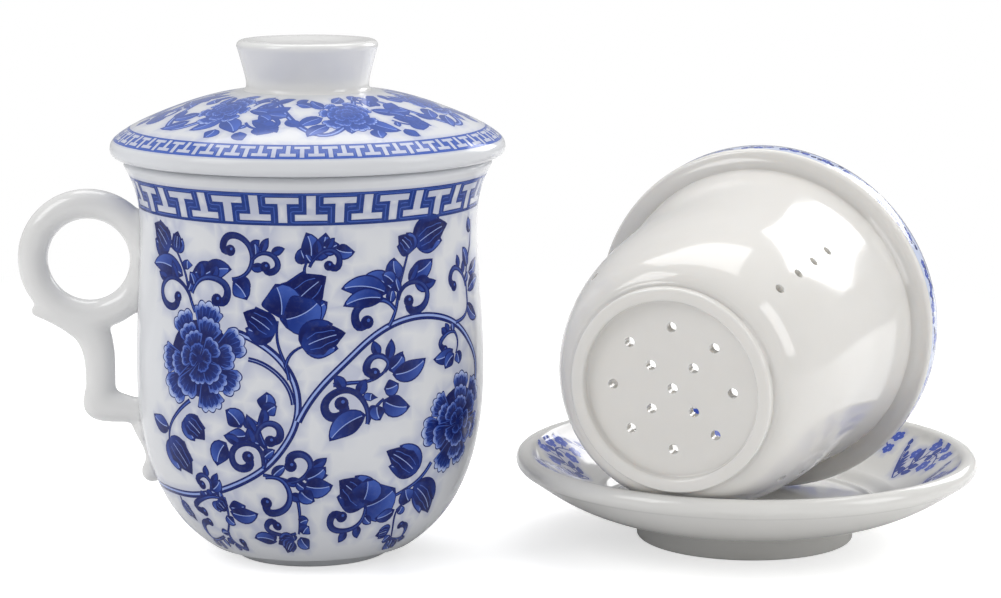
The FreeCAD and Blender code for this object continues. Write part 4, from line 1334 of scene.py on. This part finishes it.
# %% Saucer
SAUCER_GIRTH = FULL_TURN * 44.0
SAUCER_PRINT = (50.6, 36.6)
SPRAY_RANGE = (37.2, 49.9)
WELL_EDGE = 34.0
saucer_points = np.array(saucer_profile)
lip = first_where((saucer_points[:, 0] > 54.399) & (saucer_points[:, 1] > 18.5))
well = lip + 1 + int(np.argmin(np.abs(saucer_points[lip + 1:, 0] - WELL_EDGE)))
saucer_rule = reach_by(saucer_profile, RADIUS, lip + 6, well)
saucer_start = -SAUCER_GIRTH / 2
saucer_ink = []
for k in range(SPRAYS):
    spray(saucer_ink, saucer_start + SAUCER_GIRTH * (k + 0.45) / SPRAYS, *SPRAY_RANGE, 40 + k)
saucer_span = tuple(float(saucer_rule(radius)) for radius in SAUCER_PRINT)
saucer_print = printed(saucer_ink, (saucer_start, saucer_start + SAUCER_GIRTH), saucer_span,
                       laid(saucer_rule), 2.0, 7, 0.35)
saucer_print = ink_mixed_towards(saucer_print, 0.30, (0.06, 0.12, 0.60))
beside = Matrix.Translation((0.102, 0.013, 0))
dish = turned("saucer_dish", saucer_profile, SAUCER, SAUCER_GIRTH, [(*saucer_span, *saucer_print)], beside,
              saucer_start)
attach(dish, "saucer")
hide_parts("saucer")

# %% [markdown]
# The infuser is a thin cup with a straight printed collar and a foot ring. Its outline starts and ends at
# the edge of the hole in the middle of its base, so the turned form leaves that hole open.

# %% Infuser outline
CUP_SIDE = [(24.4, 2.4), (29.6, 9.5), (32.6, 22), (34.3, 43), (36.8, 65.5)]
CUP_INSIDE = [(22.6, 5.0), (27.68, 11.18), (30.2, 22.48), (31.9, 43), (34.4, 65.5), (38.1, 71.3)]
PIN = 1.15
cup_profile = joined(
    [(PIN, 2.4)] + [p for p in foot_ring(23.2, 3.0, 2.4, 2.4) if p[0] > PIN + 0.3],
    smooth(CUP_SIDE, (1, 0.35), (0.12, 1)),
    [(40.4, 65.5)],
    arc((40.4, 65.5), (41.18, 65.82), (41.5, 66.6), 5),
    [(41.5, 71.3)],
    arc((41.5, 71.3), (39.8, 73.0), (38.1, 71.3), 10),
    smooth(CUP_INSIDE, (1, 0), (0.3, 1))[::-1],
    [(PIN, 5.0)],
)
CUP_ROUND = 38.0
CUP_GIRTH = FULL_TURN * CUP_ROUND
cup_start = -CUP_GIRTH / 16
cup_along = lengths(cup_profile)
cup_points = np.array(cup_profile)
cup_top = first_where(cup_points[:, 1] == cup_points[:, 1].max())
collar_from = first_where(cup_points[:, 0] > 41.499)
floor_from = cup_top + first_where(cup_points[cup_top:, 1] < 5.001)
base_outside = reach_by(cup_profile, RADIUS, 0, 4 + first_where(cup_points[:, 0] > 19))
side_outside = reach_by(cup_profile, HEIGHT, first_where(cup_points[:, 0] > 24.39), collar_from)
collar_rule = reach_by(cup_profile, HEIGHT, collar_from, cup_top)
side_inside = reach_by(cup_profile, HEIGHT, cup_top, floor_from + 1)
base_inside = reach_by(cup_profile, RADIUS, floor_from, len(cup_profile))
print("infuser outline", len(cup_profile), "points")

# %% [markdown]
# The cup is drilled through its base and side while the clay is leather-hard. A Boolean would cut the
# holes too, but it leaves long thin triangles that the gloss shows. Here each hole is a ring that is left
# out of the sheet, on both faces of the wall, and a short tube of faces joins the two rims through the
# wall.

# %% Infuser holes
RIM_POINTS = 14
BASE_CIRCLES = ((8, 13.9), (4, 7.0))
LOWEST_HOLE = 12.5
HOLE_STEP = 9.2
base_out, base_in, side_out, side_in, tubes = [], [], [], [], []


def tube(outer, inner):
    """Quads from a hole's outer rim to its inner rim."""
    n = len(outer)
    faces = [(i, n + i, n + (i + 1) % n, (i + 1) % n) for i in range(n)]
    tubes.append((np.vstack([outer, inner]), faces))


round_cup = np.linspace(cup_start, cup_start + CUP_GIRTH, ROUND + 1)[:-1]
tube(*(np.column_stack([round_cup, np.full(ROUND, reach)]) for reach in (0.0, cup_along[-1])))
for count, reach in BASE_CIRCLES:
    for k in range(count):
        turn = 2 * math.pi * k / count
        rim = disc((reach * math.cos(turn), reach * math.sin(turn)), PIN, RIM_POINTS)
        radius = np.hypot(rim[:, 0], rim[:, 1])
        angle = (np.arctan2(rim[:, 1], rim[:, 0]) + math.pi / 8) % FULL_TURN - math.pi / 8
        base_out.append(np.column_stack([angle * CUP_ROUND, base_outside(radius)]))
        base_in.append(np.column_stack([angle * CUP_ROUND, base_inside(radius)]))
        tube(base_out[-1], base_in[-1])
for k in range(4):
    for j in range(4):
        rim = disc((0, 0), PIN, RIM_POINTS)[::-1]
        for rule, rings in ((side_outside, side_out), (side_inside, side_in)):
            reach = rule(LOWEST_HOLE + HOLE_STEP * j + rim[:, 1])
            radius = np.interp(reach, cup_along, cup_points[:, 0])
            rings.append(np.column_stack([(k * math.pi / 2 + rim[:, 0] / radius) * CUP_ROUND, reach]))
        tube(side_out[-1], side_in[-1])
print("holes:", len(tubes))

# %% [markdown]
# The collar is printed with small flowers on a pale blue ground. They are scattered with a fixed seed, so
# that the clusters look painted by hand but come out the same each time.

# %% The collar's flowers
CLUSTERS = 30
collar_ink = []
rng = np.random.default_rng(11)
for level, half, tone in ((69.0, 2.1, "mist"), (71.05, 0.14, "mid")):
    stroke(collar_ink, traced([(cup_start, level), (cup_start + CUP_GIRTH, level)], 1.5), half, tone)
for k in range(CLUSTERS):
    u = cup_start + CUP_GIRTH * (k + 0.5 + rng.uniform(-0.16, 0.16)) / CLUSTERS
    z = rng.uniform(68.2, 69.6)
    for way in (-1, 1):
        tip = (u + way * rng.uniform(2.2, 3.1), z + rng.uniform(-1.0, 1.2))
        stem(collar_ink, 0.4, (u, z), tip)
        leaf(collar_ink, 1.0, tip, (tip[0] + way * 0.5, tip[1] + rng.choice((-1.2, 1.1))), dark=True)
        leaf(collar_ink, 0.9, (u + way * 1.3, z), (u + way * 1.9, z - rng.choice((-1.3, 1.2))), dark=True)
        if k % 3 != 1:
            blossom(collar_ink, rng.uniform(0.8, 1.05), tip, rng.uniform(0, 6))
    blossom(collar_ink, rng.uniform(1.15, 1.5), (u, z), rng.uniform(0, 6))
print("shapes on the collar:", len(collar_ink))

# %% [markdown]
# The sheet has a band for each drilled or printed stretch: the base and the side from outside, the
# collar, and the side and the base from inside. The cup lies on its side in the saucer, and its axis runs
# from the middle of its foot to the middle of its rim.

# %% Infuser piece
FOOT_CENTRE = Vector((80.6728, -37.2438, 44.6451)) * MM
RIM_CENTRE = Vector((109.1049, 29.7381, 50.4787)) * MM
BASE_BAND = (2.4, 18.6)
SIDE_BAND = (9.0, 43.5)
COLLAR_BAND = (66.65, 71.28)
cup_bands = []
for rule, (first, last), ink, holes, place, spacing in (
    (base_outside, BASE_BAND, [], base_out, None, 2.2),
    (side_outside, SIDE_BAND, [], side_out, None, 3.0),
    (collar_rule, COLLAR_BAND, collar_ink, (), laid(collar_rule), 1.2),
    (side_inside, SIDE_BAND[::-1], [], side_in, None, 3.0),
    (base_inside, BASE_BAND[::-1], [], base_in, None, 2.2),
):
    span = (float(rule(first)), float(rule(last)))
    made = printed(ink, (cup_start, cup_start + CUP_GIRTH), span, place, spacing, 9, 0.3, holes)
    cup_bands.append((*span, *made))
up = (RIM_CENTRE - FOOT_CENTRE).normalized()
side = up.cross(Vector((0, 0, 1))).normalized()
x_axis = (side.cross(up) + side) * math.sqrt(0.5)
lean = Matrix((x_axis, up.cross(x_axis), up)).transposed().to_4x4()
lean.translation = FOOT_CENTRE
cup = turned("infuser", cup_profile, CREAM, CUP_GIRTH, cup_bands, lean, cup_start, tubes)
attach(cup, "infuser")
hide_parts("infuser_cup")

# %% [markdown]
# The row stands on white paper in a soft-lit room. The paper takes the shadows, is lifted to white where
# only the camera sees it, and fades to plain white further off. More light would do the same, but it
# would wash out the glaze, so the lift is mixed in by Light Path's Is Camera Ray.

# %% Floor
HALF_FLOOR = 3
FADE = (0.22, 0.42)
LIFT = 0.56
FLOOR_CORNERS = [(HALF_FLOOR * x, HALF_FLOOR * y, 0) for x, y in ((-1, -1), (1, -1), (1, 1), (-1, 1))]
floor_mesh = bpy.data.meshes.new("floor")
floor_mesh.from_pydata(FLOOR_CORNERS, [], [(0, 1, 2, 3)])
floor = placed("floor", floor_mesh)


def seen_by_camera(tree, others, shown, output):
    """Gives camera rays one shader and all other rays another."""
    seen = node(tree, "ShaderNodeLightPath")
    choose = node(tree, "ShaderNodeMixShader")
    tree.links.new(seen.outputs["Is Camera Ray"], choose.inputs["Fac"])
    tree.links.new(others.outputs[0], choose.inputs[1])
    tree.links.new(shown.outputs[0], choose.inputs[2])
    tree.links.new(choose.outputs[0], tree.nodes[output].inputs["Surface"])


def paper():
    """Paper that takes the shadows, lifted to white for the camera, and plain white further off."""
    material = bpy.data.materials.new("pale paper floor")
    material.use_nodes = True
    tree = material.node_tree
    link = tree.links.new
    shader = tree.nodes["Principled BSDF"]
    shader.inputs["Base Color"].default_value = (0.84, 0.84, 0.84, 1)
    shader.inputs["Roughness"].default_value = 0.9
    shader.inputs["Specular IOR Level"].default_value = 0.1
    lift = node(tree, "ShaderNodeEmission", {"Strength": LIFT})
    lifted = node(tree, "ShaderNodeAddShader")
    link(shader.outputs[0], lifted.inputs[0])
    link(lift.outputs[0], lifted.inputs[1])
    white = node(tree, "ShaderNodeEmission")
    where = node(tree, "ShaderNodeTexCoord")
    far = node(tree, "ShaderNodeVectorMath", operation="LENGTH")
    link(where.outputs["Object"], far.inputs[0])
    fade = node(tree, "ShaderNodeMapRange", {"From Min": FADE[0], "From Max": FADE[1]},
                interpolation_type="SMOOTHSTEP")
    link(far.outputs["Value"], fade.inputs["Value"])
    shown = node(tree, "ShaderNodeMixShader")
    link(fade.outputs["Result"], shown.inputs["Fac"])
    link(lifted.outputs[0], shown.inputs[1])
    link(white.outputs[0], shown.inputs[2])
    seen_by_camera(tree, shader, shown, "Material Output")
    return material


floor_mesh.materials.append(paper())

# %% [markdown]
# The light is a white room and four soft boxes: a key from the left, a weaker fill from the right, one
# above and a small one behind. Glaze mirrors them, so their size and place show as the long highlights on
# the cup.

# %% World and lamps
world = bpy.data.worlds.new("studio")
scene.world = world
world.use_nodes = True
ambient = world.node_tree.nodes["Background"]
ambient.inputs["Color"].default_value = (1, 1, 1, 1)
ambient.inputs["Strength"].default_value = 0.48
backdrop = node(world.node_tree, "ShaderNodeBackground", {"Color": (1, 1, 1, 1), "Strength": 1.0})
seen_by_camera(world.node_tree, ambient, backdrop, "World Output")
LAMPS = {
    "key": ((-0.75, -0.45, 0.75), (0.03, 0, 0.05), 0.5, 0.7, 4.4),
    "fill": ((0.95, -0.35, 0.55), (0.06, 0, 0.05), 0.45, 0.7, 3.6),
    "top": ((0.05, 0.35, 0.95), (0.05, 0, 0.05), 0.9, 0.5, 4.0),
    "back": ((0.55, 0.55, 0.40), (0.10, 0.02, 0.05), 0.35, 0.35, 2.0),
}
for name, (place, target, width, height, power) in LAMPS.items():
    light = bpy.data.lights.new(name, "AREA")
    light.shape = "RECTANGLE"
    light.size = width
    light.size_y = height
    light.energy = power
    lamp = placed(name, light)
    lamp.location = place
    lamp.rotation_euler = (Vector(target) - Vector(place)).to_track_quat("-Z", "Y").to_euler()
print("lamps:", ", ".join(LAMPS))
